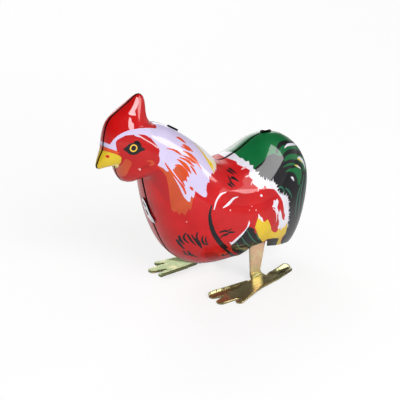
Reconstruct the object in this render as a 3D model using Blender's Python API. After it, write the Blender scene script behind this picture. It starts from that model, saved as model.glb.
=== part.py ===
"""A wind-up tin rooster: two pressed tinplate halves around a clockwork that rocks a pair of steel feet.

The bird faces -Y, its left side is +X and it stands on Z = 0, with the origin on the ground under the middle
of its length, in the plane of its seam. Sizes and places below are in millimetres, and side-view points are
(y, z). Meshes are made in millimetres and scaled to metres once, in add_part.
"""

import math

import bmesh
import bpy
import numpy as np
from mathutils import Vector, geometry

MM = 0.001

# Tinplate halves
SHEET = 0.35
SEAM_HALF_GAP = 0.1
SHELL_STEP = 3.5
OUTLINE_STEP = 2.5
RIM_RINGS = (0.12, 0.55, 1.4)
WING_RISE = 0.35
WING_RAMP = 2.2

# Legs: one sheet-metal strap with its foot
LEG_SHEET = 0.8
LEG_BEND_RADIUS = 0.7
STRAP_OUTER_X = 11.2
FOOT_ARCH = 0.8
FOOT_ARCH_RUN = 6.0
LEG_BOSS_RADIUS = 3.8
RIGHT_TOES_LEAD = 3.0
BEND_START = STRAP_OUTER_X + LEG_BEND_RADIUS
BEND_LENGTH = (LEG_BEND_RADIUS + LEG_SHEET / 2) * math.pi / 2
LEG_AXLE_REACH = STRAP_OUTER_X + 1.1
SPACER_RADIUS, SPACER_PLATE_GAP, SPACER_STRAP_GAP = 2.1, 0.15, 0.05
WASHER_RADIUS, WASHER_SHEET, WASHER_GAP = 2.3, 0.7, 0.05
ANKLE_FRONT, TOES_DIRECTION = (12.0, 12.1), (-0.53, -0.848)
ANKLE_REAR, HEEL_DIRECTION = (12.0, 16.9), (0.6, 0.8)

# Clockwork, as (y, z) axes between two plates
PLATE_INNER_X = 5.5
PLATE_SHEET = 0.8
PLATE_OUTER_X = PLATE_INNER_X + PLATE_SHEET
PLATE_OUTLINE = (
    (-10.6, 16.6), (6.0, 14.8), (14.0, 15.4), (20.6, 17.2), (26.6, 25.0), (26.6, 34.8),
    (20.0, 37.4), (10.0, 40.0), (-4.0, 40.0), (-10.6, 39.4),
)
WIND_AXIS = (1.0, 28.0)
SECOND_DIRECTION = math.radians(15.0)
STAR_DIRECTION = math.radians(-35.0)
LEG_AXIS = (17.0, 21.5)
PILLARS = {
    "pillar_front_lower": (-8.0, 19.0),
    "pillar_front_upper": (-8.0, 37.0),
    "pillar_rear_lower": (9.5, 17.2),
    "pillar_rear_upper": (24.0, 33.0),
}
GREAT_TEETH, SECOND_PINION_TEETH, GREAT_MODULE = 48, 12, 0.4
SECOND_TEETH, STAR_PINION_TEETH, SECOND_MODULE = 36, 10, 0.35
STAR_TEETH = 8
RATCHET_TEETH = 12
PRESSURE_ANGLE = math.radians(25.0)
ADDENDUM, DEDENDUM = 0.8, 1.05
TOOTH_THINNING = 0.025

# Running fits and the radii of shafts
FIT = 0.05
RIVET_GAP = 0.04
ARBOR_RADIUS = 1.7
ARBOR_JOURNAL = 1.3
ARBOR_SLIM = 1.1
PIVOT_RADIUS = 0.8
PILLAR_RADIUS = 1.4
LEG_AXLE_RADIUS = 1.25
ROUND_SEGMENTS = 24

# Key and eyelet
KEY_HOLE_RADIUS = 3.0
KEY_OUTER_X = -24.0
KEY_WING_RADIUS = 2.7
KEY_WING_REACH = 4.6
KEY_WING_HOLE = 1.3
KEY_WEB = 0.9
KEY_SOCKET_RADIUS, KEY_SOCKET_LENGTH, KEY_SOCKET_NOSE, KEY_SOCKET_CHAMFER = 2.0, 3.6, 1.4, 0.6
KEY_END_RADIUS, KEY_END_LENGTH = 1.0, 0.9
EYELET_RISE = 0.75
EYELET_BORE, EYELET_BARREL, EYELET_FLANGE, EYELET_LENGTH, EYELET_SHEET = 2.35, 2.8, 3.9, 1.6, 0.4

# Where the clockwork's layers lie between the plates, as x from and to
SPRING_LAYER = (-5.0, -0.9)
ROCKER_LAYER = (-0.6, 0.2)
CLICK_LAYER = (0.5, 1.3)
GREAT_LAYER = (1.5, 2.3)
SECOND_PINION_LAYER = (1.1, 2.7)
SECOND_WHEEL_LAYER = (3.6, 4.3)
STAR_PINION_LAYER = (3.3, 4.6)
# The windows between the wheels' spokes: radii from and to, and the span in degrees
GREAT_WINDOWS, GREAT_WINDOW_SPAN = (4.6, 7.8), 38
SECOND_WINDOWS, SECOND_WINDOW_SPAN = (2.3, 4.9), 44

# Mainspring, click and star
SPRING_INNER, SPRING_OUTER, SPRING_TURNS, SPRING_STRIP = 1.95, 8.4, 6.5, 0.3
CLICK_ANGLE = math.radians(150.0)
CLICK_REACH = 5.9
CLICK_RIVET = 0.5
RATCHET_ROOT, RATCHET_TIP = 2.9, 3.6
STAR_ROOT, STAR_TIP = 2.0, 3.0
LEG_SWING = math.radians(8.0)
CROSSBAR_SHEET, CROSSBAR_WIDTH, CROSSBAR_SLACK = 0.7, 6.0, 0.7
CROSSBAR_FRONT_Z, CROSSBAR_REAR_Z = 31.0, 30.0
CLICK_SPRING_STRIP = 0.25

SECOND_AXIS = (
    WIND_AXIS[0] + GREAT_MODULE * (GREAT_TEETH + SECOND_PINION_TEETH) / 2 * math.cos(SECOND_DIRECTION),
    WIND_AXIS[1] + GREAT_MODULE * (GREAT_TEETH + SECOND_PINION_TEETH) / 2 * math.sin(SECOND_DIRECTION),
)
STAR_AXIS = (
    SECOND_AXIS[0] + SECOND_MODULE * (SECOND_TEETH + STAR_PINION_TEETH) / 2 * math.cos(STAR_DIRECTION),
    SECOND_AXIS[1] + SECOND_MODULE * (SECOND_TEETH + STAR_PINION_TEETH) / 2 * math.sin(STAR_DIRECTION),
)

# The bird's outline in the seam plane, as strokes between its corners: (y, z), clockwise from the beak's tip.
OUTLINE_STROKES = (
    ((-46.5, 55.7), (-45.3, 58.2), (-43.7, 60.9)),
    (
        (-43.7, 60.9), (-43.3, 64.4), (-42.3, 68.2), (-40.6, 70.8), (-37.4, 72.8), (-33.4, 74.9),
        (-29.4, 77.1), (-27.0, 76.0), (-26.5, 72.8), (-26.6, 69.4), (-24.8, 66.4),
    ),
    (
        (-24.8, 66.4), (-20.0, 64.8), (-12.0, 60.0), (-3.0, 52.8), (1.4, 48.4), (6.6, 45.5),
        (14.5, 47.3), (24.5, 51.1), (34.0, 49.6), (41.8, 43.6), (46.2, 35.0), (45.8, 26.6),
        (43.2, 17.0), (40.9, 10.4), (37.8, 5.6), (31.0, 3.8), (20.0, 5.8), (8.0, 8.2), (0.0, 8.3),
        (-8.0, 10.0), (-15.4, 15.0), (-20.4, 22.0), (-24.6, 32.6), (-27.2, 43.0), (-28.1, 47.9),
    ),
    ((-28.1, 47.9), (-30.8, 47.4), (-33.4, 46.9), (-36.3, 47.9), (-38.2, 50.4), (-39.4, 54.2)),
    ((-39.4, 54.2), (-42.5, 54.4), (-45.4, 54.2)),
    ((-45.4, 54.2), (-46.3, 54.7), (-46.5, 55.7)),
)
WING_OUTLINE = (
    (-9.6, 37.0), (-10.2, 30.5), (-7.4, 23.4), (-1.8, 17.2), (5.0, 14.2), (13.0, 16.6),
    (20.0, 21.0), (26.0, 28.0), (22.0, 35.0), (10.0, 40.0), (-4.0, 41.5),
)
# The opening for the legs, from the belly's end to the tail: everything of the side view below this line.
LEG_OPENING = (
    (8.8, 2.0), (9.0, 12.6), (10.6, 15.2), (17.8, 15.6), (19.6, 12.2), (24.4, 10.6), (34.6, 7.8), (42.0, 8.6),
    (42.0, 2.0),
)
# How far the sheet bulges sideways near each place of the side view, against a soap film over the outline.
BULGE = (
    ((-42.0, 57.0), 4.0, 0.52),
    ((-33.0, 71.5), 5.0, 0.50),
    ((-31.0, 58.0), 6.0, 0.55),
    ((-18.0, 50.0), 8.0, 0.60),
    ((-15.0, 30.0), 10.0, 0.70),
    ((2.0, 27.0), 12.0, 0.655),
    ((12.0, 37.0), 8.0, 0.59),
    ((15.0, 49.5), 2.5, 0.30),
    ((24.0, 44.0), 7.0, 0.56),
    ((38.0, 32.0), 8.0, 0.52),
    ((34.0, 16.0), 7.0, 0.56),
    ((20.0, 20.0), 8.0, 0.62),
)


# ---------------------------------------------------------------- curves and flat shapes


def catmull_rom(before, start, end, after, step):
    """Points from start up to end on the smooth curve through all four, about a step apart."""
    count = max(1, round(float(np.linalg.norm(end - start)) / step))
    for t in np.arange(count) / count:
        cubic = (3 * start - 3 * end + after - before) * t**3
        square = (2 * before - 5 * start + 4 * end - after) * t**2
        yield 0.5 * (2 * start + (end - before) * t + square + cubic)


def curve_through(points, step):
    """A smooth open curve through the points, without its last point."""
    points = [np.array(p, float) for p in points]
    padded = [2 * points[0] - points[1], *points, 2 * points[-1] - points[-2]]
    spans = zip(padded, padded[1:], padded[2:], padded[3:])
    return [sample for span in spans for sample in catmull_rom(*span, step)]


def closed_curve(points, step):
    """A smooth closed curve through the points."""
    padded = [np.array(p, float) for p in (points[-1], *points, points[0], points[1])]
    spans = zip(padded, padded[1:], padded[2:], padded[3:])
    return np.array([sample for span in spans for sample in catmull_rom(*span, step)])


def circle(centre, radius, segments=ROUND_SEGMENTS, start=0.0):
    angles = start + 2 * math.pi * np.arange(segments) / segments
    return np.column_stack([centre[0] + radius * np.cos(angles), centre[1] + radius * np.sin(angles)])


def inside(points, polygon):
    """Which of the points lie inside the polygon."""
    points = np.atleast_2d(points)
    crossings = np.zeros(len(points), int)
    for (ax, ay), (bx, by) in zip(polygon, np.roll(polygon, -1, axis=0)):
        spans = (ay > points[:, 1]) != (by > points[:, 1])
        slope = (bx - ax) / (by - ay) if by != ay else 0.0
        crossings += spans & (points[:, 0] < ax + (points[:, 1] - ay) * slope)
    return crossings % 2 == 1


def distance_to(points, polygon):
    """Each point's distance to the closed polygon's edges."""
    nearest = np.full(len(points), np.inf)
    for a, b in zip(polygon, np.roll(polygon, -1, axis=0)):
        along = np.clip(((points - a) @ (b - a)) / max(float((b - a) @ (b - a)), 1e-12), 0, 1)
        nearest = np.minimum(nearest, np.linalg.norm(points - a - along[:, None] * (b - a), axis=1))
    return nearest


def triangulate(outline, loops=(), lines=(), extra=()):
    """Triangles that fill the outline, with edges along loops and lines and corners at the extra points."""
    points = [Vector(p) for p in outline]
    edges = [(i, (i + 1) % len(outline)) for i in range(len(outline))]
    for path, is_closed in [(loop, True) for loop in loops] + [(line, False) for line in lines]:
        first = len(points)
        points += [Vector(p) for p in path]
        count = len(path) if is_closed else len(path) - 1
        edges += [(first + i, first + (i + 1) % len(path)) for i in range(count)]
    points += [Vector(p) for p in extra]
    found = geometry.delaunay_2d_cdt(points, edges, [list(range(len(outline)))], 1, 1e-6)
    corners = np.array([(v.x, v.y) for v in found[0]])
    triangles = np.array([face for face in found[2] if len(face) == 3])
    middle = corners[triangles].mean(axis=1)
    triangles = triangles[inside(middle, np.array(outline, float))]
    a, b, c = corners[triangles].transpose(1, 0, 2)
    turn = (b[:, 0] - a[:, 0]) * (c[:, 1] - a[:, 1]) - (b[:, 1] - a[:, 1]) * (c[:, 0] - a[:, 0])
    triangles[turn < 0] = triangles[turn < 0][:, ::-1]
    corners, triangles, _ = used_only(corners, triangles[np.abs(turn) > 1e-9])
    return corners, triangles


def without(corners, triangles, region):
    """The triangles whose middle is outside the region."""
    return triangles[~inside(corners[triangles].mean(axis=1), np.array(region, float))]


def used_only(corners, triangles):
    """The mesh without the corners that no triangle uses."""
    used, index = np.unique(triangles, return_inverse=True)
    return corners[used], index.reshape(-1, 3), used


def border_edges(triangles):
    """The directed edges that belong to one triangle only."""
    directed = np.concatenate([triangles[:, [0, 1]], triangles[:, [1, 2]], triangles[:, [2, 0]]])
    known = set(map(tuple, directed))
    return np.array([(a, b) for a, b in directed if (b, a) not in known])


# ---------------------------------------------------------------- objects


def material(name, colour, roughness, metallic):
    made = bpy.data.materials.new(name)
    made.use_nodes = True
    shader = made.node_tree.nodes["Principled BSDF"]
    shader.inputs["Base Color"].default_value = (*colour, 1.0)
    shader.inputs["Roughness"].default_value = roughness
    shader.inputs["Metallic"].default_value = metallic
    return made


def place(made, axis, parent):
    """Puts an object in the scene with its origin on a joint's axis, wherever its parent stands."""
    bpy.context.collection.objects.link(made)
    spot = Vector((0.0, *axis)) * MM
    made["spot"] = spot
    made.parent = parent
    made.location = spot - Vector(parent["spot"]) if parent else spot
    return made


def add_part(name, bm, look, joint_axis=(0.0, 0.0), parent=None):
    """An object from a mesh in world millimetres, with its origin on its joint's axis where it turns."""
    bmesh.ops.recalc_face_normals(bm, faces=bm.faces)
    bmesh.ops.translate(bm, vec=-Vector((0.0, *joint_axis)), verts=bm.verts)
    bmesh.ops.scale(bm, vec=(MM, MM, MM), verts=bm.verts)
    mesh = bpy.data.meshes.new(name)
    bm.to_mesh(mesh)
    bm.free()
    mesh.shade_smooth()
    mesh.set_sharp_from_angle(angle=math.radians(35))
    mesh.materials.append(LOOKS[look])
    return place(bpy.data.objects.new(name, mesh), joint_axis, parent)


def add_pivot(name, axis, parent=None):
    """An empty on a joint's axis, which carries the pieces that turn together."""
    made = place(bpy.data.objects.new(name, None), axis, parent)
    made.empty_display_size = 3 * MM
    return made


def closed_mesh(front, back, triangles):
    """A bmesh between two sheets of corners that share their triangles, walled along the border."""
    bm = bmesh.new()
    first = [bm.verts.new(p) for p in front]
    second = [bm.verts.new(p) for p in back]
    for a, b, c in triangles:
        bm.faces.new((first[a], first[b], first[c]))
        bm.faces.new((second[c], second[b], second[a]))
    for a, b in border_edges(triangles):
        bm.faces.new((first[b], first[a], second[a]))
        bm.faces.new((first[b], second[a], second[b]))
    return bm


def plate(outline, x_from, x_to, holes=()):
    """A flat sheet with holes, standing in the side view between two x."""
    corners, triangles = triangulate(outline, loops=holes)
    for hole in holes:
        triangles = without(corners, triangles, hole)
    corners, triangles, _ = used_only(corners, triangles)
    near = [(x_from, y, z) for y, z in corners]
    far = [(x_to, y, z) for y, z in corners]
    return closed_mesh(near, far, triangles)


def turned(axis, profile, segments=ROUND_SEGMENTS):
    """A round piece on an axis along X, from its (x, radius) profile, closed if it starts off the axis."""
    bm = bmesh.new()
    corners = [bm.verts.new((x, axis[0], axis[1] + radius)) for x, radius in profile]
    ends = list(zip(range(len(profile)), range(1, len(profile))))
    if profile[0][1] > 0:
        ends.append((len(profile) - 1, 0))
    edges = [bm.edges.new((corners[i], corners[j])) for i, j in ends if profile[i][1] + profile[j][1] > 0]
    bmesh.ops.spin(
        bm, geom=corners + edges, cent=(0, *axis), axis=(1, 0, 0), angle=2 * math.pi, steps=segments,
        use_merge=True,
    )
    bmesh.ops.remove_doubles(bm, verts=bm.verts, dist=1e-4)
    return bm


def rod(axis, x_from, x_to, radius, segments=ROUND_SEGMENTS):
    return turned(axis, ((x_from, 0.0), (x_from, radius), (x_to, radius), (x_to, 0.0)), segments)


def ring(axis, x_from, x_to, inner, outer, segments=ROUND_SEGMENTS):
    profile = ((x_from, inner), (x_from, outer), (x_to, outer), (x_to, inner))
    return turned(axis, profile, segments)


def joined(target, tool):
    """The first object united with the second, which is used up."""
    modifier = target.modifiers.new("join", "BOOLEAN")
    modifier.operation = "UNION"
    modifier.object = tool
    modifier.solver = "EXACT"
    graph = bpy.context.evaluated_depsgraph_get()
    result = bpy.data.meshes.new_from_object(target.evaluated_get(graph))
    target.modifiers.clear()
    target.data = result
    bpy.data.objects.remove(tool)
    return target


# ---------------------------------------------------------------- tinplate body


def body_outline(step):
    return np.array([point for stroke in OUTLINE_STROKES for point in curve_through(stroke, step)])


def bulge_factor(points):
    """The sideways bulge of the sheet at each point, blended between the places in BULGE."""
    total = np.zeros(len(points))
    weight = np.full(len(points), 1e-9)
    for spot, reach, factor in BULGE:
        near = np.exp(-(np.linalg.norm(points - np.array(spot), axis=1) / reach) ** 2 / 2) + 1e-6
        total += near * factor
        weight += near
    return total / weight


def soap_film(corners, triangles, border):
    """The height of a film blown up over the side view and held down along its border."""
    a, b, c = corners[triangles].transpose(1, 0, 2)
    sides = np.stack([c - b, a - c, b - a], axis=1)
    area = 0.5 * np.abs(sides[:, 0, 0] * sides[:, 1, 1] - sides[:, 0, 1] * sides[:, 1, 0])
    stiffness = np.zeros((len(corners), len(corners)))
    load = np.zeros(len(corners))
    for i in range(3):
        np.add.at(load, triangles[:, i], area / 3)
        for j in range(3):
            share = (sides[:, i] * sides[:, j]).sum(axis=1) / (4 * area)
            np.add.at(stiffness, (triangles[:, i], triangles[:, j]), share)
    free = np.setdiff1d(np.arange(len(corners)), border)
    film = np.zeros(len(corners))
    film[free] = np.linalg.solve(stiffness[np.ix_(free, free)], load[free])
    return film


def slopes(corners, triangles, values):
    """The gradient of the values at each corner, averaged over the triangles around it."""
    a, b, c = corners[triangles].transpose(1, 0, 2)
    double = (b[:, 0] - a[:, 0]) * (c[:, 1] - a[:, 1]) - (b[:, 1] - a[:, 1]) * (c[:, 0] - a[:, 0])
    total = np.zeros((len(corners), 2))
    weight = np.zeros(len(corners))
    gradient = np.zeros((len(triangles), 2))
    for here, (p, q) in zip(range(3), ((b, c), (c, a), (a, b))):
        turned_side = np.column_stack([p[:, 1] - q[:, 1], q[:, 0] - p[:, 0]])
        gradient += values[triangles[:, here], None] * turned_side / double[:, None]
    for here in range(3):
        np.add.at(total, triangles[:, here], gradient * double[:, None])
        np.add.at(weight, triangles[:, here], double)
    return total / np.maximum(weight, 1e-12)[:, None]


def outward(corners, edges):
    """The outward direction of the side view's border at each of its corners."""
    total = np.zeros_like(corners)
    along = corners[edges[:, 1]] - corners[edges[:, 0]]
    away = np.column_stack([along[:, 1], -along[:, 0]]) / np.linalg.norm(along, axis=1)[:, None]
    np.add.at(total, edges[:, 0], away)
    np.add.at(total, edges[:, 1], away)
    return total / np.maximum(np.linalg.norm(total, axis=1), 1e-12)[:, None]


def ramp(value):
    value = np.clip(value, 0, 1)
    return value * value * (3 - 2 * value)


def side_view_mesh():
    """Corners and triangles of the side view, finest along the seam, where the sheet turns over."""
    outline = body_outline(OUTLINE_STEP)
    wing = closed_curve(WING_OUTLINE, SHELL_STEP)
    hole = circle(WIND_AXIS, KEY_HOLE_RADIUS, 16)
    ahead = np.roll(outline, -1, axis=0) - np.roll(outline, 1, axis=0)
    inward = np.column_stack([ahead[:, 1], -ahead[:, 0]]) / np.linalg.norm(ahead, axis=1)[:, None]
    extra = []
    for depth in RIM_RINGS:
        moved = outline + inward * depth
        extra.append(moved[inside(moved, outline) & (distance_to(moved, outline) > depth * 0.85)])
    low, high = outline.min(axis=0), outline.max(axis=0)
    rows = np.arange(low[1], high[1], SHELL_STEP * math.sqrt(0.75))
    grid = [
        (y + (index % 2) * SHELL_STEP / 2, z)
        for index, z in enumerate(rows)
        for y in np.arange(low[0], high[0], SHELL_STEP)
    ]
    grid = np.array(grid)
    clear = inside(grid, outline) & (distance_to(grid, outline) > RIM_RINGS[-1] + SHELL_STEP * 0.45)
    clear &= distance_to(grid, hole) > 1.2
    clear &= distance_to(grid, wing) > SHELL_STEP * 0.4
    extra.append(grid[clear])
    return triangulate(outline, loops=[hole, wing], lines=[LEG_OPENING], extra=np.concatenate(extra))


def shell_sheets(corners, triangles):
    """The outer and inner surface of the bird's left half over the side view."""
    edges = border_edges(triangles)
    border = np.unique(edges)
    film = soap_film(corners, triangles, border)
    half_width = 2 * bulge_factor(corners) * np.sqrt(np.maximum(film, 0))
    wing = closed_curve(WING_OUTLINE, SHELL_STEP)
    depth = distance_to(corners, wing) * inside(corners, wing)
    half_width += WING_RISE * ramp(depth / WING_RAMP)
    slope = slopes(corners, triangles, half_width**2)
    normal = np.column_stack([half_width, -slope[:, 0] / 2, -slope[:, 1] / 2])
    away = outward(corners, edges)
    normal[border] = np.column_stack([np.zeros(len(border)), away[border]])
    normal /= np.linalg.norm(normal, axis=1)[:, None]
    outer = np.column_stack([half_width + SEAM_HALF_GAP, corners])
    return outer, outer - SHEET * normal


def add_body_half(name, side, outer, inner, corners, triangles, openings):
    for region in openings:
        triangles = without(corners, triangles, region)
    _, triangles, used = used_only(corners, triangles)
    mirror = np.array([side, 1, 1])
    bm = closed_mesh(outer[used] * mirror, inner[used] * mirror, triangles)
    return add_part(name, bm, "printed tinplate")


def add_body():
    """Both body halves. Returns how far the sheet's inside stands off the seam at a side-view place."""
    corners, triangles = side_view_mesh()
    outer, inner = shell_sheets(corners, triangles)
    key_hole = circle(WIND_AXIS, KEY_HOLE_RADIUS, 16)
    add_body_half("body_half_left", 1, outer, inner, corners, triangles, [LEG_OPENING])
    add_body_half("body_half_right", -1, outer, inner, corners, triangles, [LEG_OPENING, key_hole])

    def reach_at(spot):
        near = np.argsort(np.linalg.norm(corners - np.array(spot), axis=1))[:3]
        return float(inner[near, 0].mean())

    return reach_at


# ---------------------------------------------------------------- legs


def foot_outline(lead):
    """The left foot's flat shape as (x, y), from the ankle round the toes, a lead further on, to the heel."""
    inner_edge = [ANKLE_FRONT, (11.4, 4.0), (10.9, -4.5 - lead)]
    inner_toe = arc((12.7, -6.5 - lead), 1.8, 190, 330, 5)
    middle_toe = arc((17.9, -7.2 - lead), 1.8, 200, 350, 5)
    outer_toe = arc((21.7, -1.9 - lead), 1.5, 215, 380, 5)
    heel = arc((12.3, 28.7), 2.1, 10, 190, 6)
    inner_spur = [(11.6, 21.0), (12.2, 18.6)]
    toes = inner_toe + [(15.2, -3.4 - lead)] + middle_toe + [(19.9, -1.0 - lead)] + outer_toe
    return inner_edge + toes + heel + inner_spur


def arc(centre, radius, start, end, count):
    """Points on an arc, between two angles in degrees."""
    angles = np.radians(np.linspace(start, end, count))
    return [(centre[0] + radius * math.cos(a), centre[1] + radius * math.sin(a)) for a in angles]


def arch_height(x, y):
    """The foot's rise over the ground: highest at the ankle, down on the ground at the toes and the heel."""
    spot = np.array([x, y])
    toes = float((spot - ANKLE_FRONT) @ TOES_DIRECTION)
    heel = float((spot - ANKLE_REAR) @ HEEL_DIRECTION)
    return FOOT_ARCH * (1 - min(max(toes, heel, 0.0) / FOOT_ARCH_RUN, 1.0))


def fold(u, y, depth):
    """A point of the flat leg after bending: the foot lies along x, and the strap stands on the ankle."""
    middle = LEG_BEND_RADIUS + LEG_SHEET / 2
    centre_z = LEG_SHEET / 2 + middle + FOOT_ARCH
    if u >= BEND_START:
        return (u, y, LEG_SHEET / 2 + depth + arch_height(u, y))
    if u > BEND_START - BEND_LENGTH:
        angle = (BEND_START - u) / middle
        reach = middle - depth
        return (BEND_START - reach * math.sin(angle), y, centre_z - reach * math.cos(angle))
    return (BEND_START - middle + depth, y, centre_z + BEND_START - BEND_LENGTH - u)


def leg_outline(lead):
    """The whole leg before bending, as (u, y), where u is x on the foot and falls on up the strap."""
    bend_top = LEG_SHEET + LEG_BEND_RADIUS + FOOT_ARCH
    boss = (BEND_START - BEND_LENGTH - (LEG_AXIS[1] - bend_top), LEG_AXIS[0])
    strap_foot = BEND_START - BEND_LENGTH - 1.0
    strap = [(strap_foot, 16.9), *arc(boss, LEG_BOSS_RADIUS, 60, 300, 11), (strap_foot, 12.3)]
    return strap + foot_outline(lead), boss


def crease(ankle_corner, towards, distance, start, end):
    """A straight line across the foot, at a distance from an ankle corner and square to a direction."""
    foot = np.array(ankle_corner) + distance * np.array(towards)
    along = np.array([abs(towards[1]), -abs(towards[0])])
    return [foot + start * along, foot + end * along]


def add_leg(name, side, lead, parent):
    outline, boss = leg_outline(lead)
    lines = [((u, 11.0), (u, 18.5)) for u in np.linspace(BEND_START - BEND_LENGTH, BEND_START, 5)]
    lines.append(crease(ANKLE_FRONT, TOES_DIRECTION, 0.0, 0.0, 9.0))
    lines.append(crease(ANKLE_FRONT, TOES_DIRECTION, FOOT_ARCH_RUN, -3.0, 12.0))
    lines.append(crease(ANKLE_REAR, HEEL_DIRECTION, 0.0, 0.0, 9.0))
    lines.append(crease(ANKLE_REAR, HEEL_DIRECTION, FOOT_ARCH_RUN, -9.0, 6.0))
    hole = circle(boss, LEG_AXLE_RADIUS + FIT)
    corners, triangles = triangulate(outline, loops=[hole], lines=lines)
    triangles = without(corners, triangles, hole)
    under, over = (
        [np.array(fold(u, y, depth)) * (side, 1, 1) for u, y in corners]
        for depth in (-LEG_SHEET / 2, LEG_SHEET / 2)
    )
    add_part(name, closed_mesh(under, over, triangles), "yellow zinc", LEG_AXIS, parent)


def add_legs():
    legs = add_pivot("leg_pivot", LEG_AXIS)
    add_leg("leg_left", 1, 0.0, legs)
    add_leg("leg_right", -1, RIGHT_TOES_LEAD, legs)
    axle = rod(LEG_AXIS, -LEG_AXLE_REACH, LEG_AXLE_REACH, LEG_AXLE_RADIUS)
    add_part("leg_axle", axle, "steel", LEG_AXIS, legs)
    spacer_from = PLATE_OUTER_X + SPACER_PLATE_GAP
    spacer_to = STRAP_OUTER_X - LEG_SHEET - SPACER_STRAP_GAP
    washer_from = STRAP_OUTER_X + WASHER_GAP
    bore = LEG_AXLE_RADIUS + FIT
    for name, side in (("left", 1), ("right", -1)):
        spacer = ring(LEG_AXIS, side * spacer_from, side * spacer_to, bore, SPACER_RADIUS)
        add_part(f"leg_spacer_{name}", spacer, "brass", LEG_AXIS, legs)
        washer = ring(LEG_AXIS, side * washer_from, side * (washer_from + WASHER_SHEET), bore, WASHER_RADIUS)
        add_part(f"leg_washer_{name}", washer, "steel", LEG_AXIS, legs)
    return legs


# ---------------------------------------------------------------- clockwork


def gear_outline(axis, teeth, module, phase, flank_steps):
    """An involute gear, with its first tooth at the phase angle."""
    pitch = module * teeth / 2
    base = pitch * math.cos(PRESSURE_ANGLE)
    tip = pitch + ADDENDUM * module
    root = pitch - DEDENDUM * module
    half = math.pi / (2 * teeth) - TOOTH_THINNING / pitch + math.tan(PRESSURE_ANGLE) - PRESSURE_ANGLE
    radii = np.linspace(max(base, root), tip, flank_steps)
    flank = []
    for radius in radii:
        roll = math.acos(min(1.0, base / radius))
        flank.append((radius, half - (math.tan(roll) - roll)))
    if root < base:
        flank.insert(0, (root, flank[0][1]))
    outline = []
    for tooth in range(teeth):
        middle = phase + 2 * math.pi * tooth / teeth
        profile = [(r, middle - a) for r, a in flank] + [(r, middle + a) for r, a in reversed(flank)]
        outline += [(axis[0] + r * math.cos(a), axis[1] + r * math.sin(a)) for r, a in profile]
    return outline


def toothed_disc(axis, teeth, root, tip, lean, phase=0.0):
    """A wheel of straight-sided teeth: a lean of 0 makes a star, and one of 1 makes ratchet teeth."""
    outline = []
    for tooth in range(teeth):
        start = phase + 2 * math.pi * tooth / teeth
        step = 2 * math.pi / teeth
        for share, radius in ((0.0, root), (0.45 - 0.40 * lean, tip), (0.55 - 0.40 * lean, tip)):
            outline.append((axis[0] + radius * math.cos(start + share * step),
                            axis[1] + radius * math.sin(start + share * step)))
    return outline


def spiral_strip(axis, inner, outer, turns, thickness, start):
    """The outline of a flat spring, wound outwards in the side view."""
    count = int(turns * 20)
    inside_edge, outside_edge = [], []
    for index in range(count + 1):
        angle = start + 2 * math.pi * turns * index / count
        radius = inner + (outer - inner) * index / count
        for edge, offset in ((inside_edge, 0.0), (outside_edge, thickness)):
            edge.append((axis[0] + (radius + offset) * math.cos(angle),
                         axis[1] + (radius + offset) * math.sin(angle)))
    return inside_edge + outside_edge[::-1]


def add_frame(reach_at):
    holes = [
        (WIND_AXIS, ARBOR_JOURNAL + FIT),
        (SECOND_AXIS, PIVOT_RADIUS + FIT),
        (STAR_AXIS, PIVOT_RADIUS + FIT),
        (LEG_AXIS, LEG_AXLE_RADIUS + FIT),
    ]
    holes += [(axis, PIVOT_RADIUS + FIT) for axis in PILLARS.values()]
    for name, side in (("motor_plate_left", 1), ("motor_plate_right", -1)):
        near, far = side * PLATE_INNER_X, side * (PLATE_INNER_X + PLATE_SHEET)
        add_part(name, plate(PLATE_OUTLINE, near, far, [circle(c, r) for c, r in holes]), "zinc steel")
    for name, axis in PILLARS.items():
        add_part(name, pillar(axis), "steel")
    add_crossbar("crossbar_front", min(y for y, _ in PLATE_OUTLINE), -1, CROSSBAR_FRONT_Z, reach_at)
    add_crossbar("crossbar_rear", max(y for y, _ in PLATE_OUTLINE), 1, CROSSBAR_REAR_Z, reach_at)


def pillar(axis):
    """A frame pillar: a shoulder between the plates, and a riveted tenon through each."""
    shoulder = PLATE_INNER_X - RIVET_GAP
    head = PLATE_INNER_X + PLATE_SHEET + RIVET_GAP
    half = (
        (head + 0.5, 0.0), (head + 0.5, 0.9), (head, PILLAR_RADIUS), (head, PIVOT_RADIUS),
        (shoulder, PIVOT_RADIUS), (shoulder, PILLAR_RADIUS),
    )
    profile = [(-x, r) for x, r in half] + [(x, r) for x, r in reversed(half)]
    return turned(axis, profile, 16)


def add_crossbar(name, plate_edge, side, z, reach_at):
    """A strip across the plates' edges, as long as the body is wide there, so that it holds the clockwork."""
    y = plate_edge + side * (RIVET_GAP + CROSSBAR_SHEET / 2)
    edges = (z - CROSSBAR_WIDTH / 2, z + CROSSBAR_WIDTH / 2)
    reach = min(reach_at((y, edge)) for edge in edges) - CROSSBAR_SLACK
    bm = bmesh.new()
    bmesh.ops.create_cube(bm, size=1.0)
    bmesh.ops.scale(bm, vec=(2 * reach, CROSSBAR_SHEET, CROSSBAR_WIDTH), verts=bm.verts)
    bmesh.ops.translate(bm, vec=(0, y, z), verts=bm.verts)
    add_part(name, bm, "zinc steel")


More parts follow.
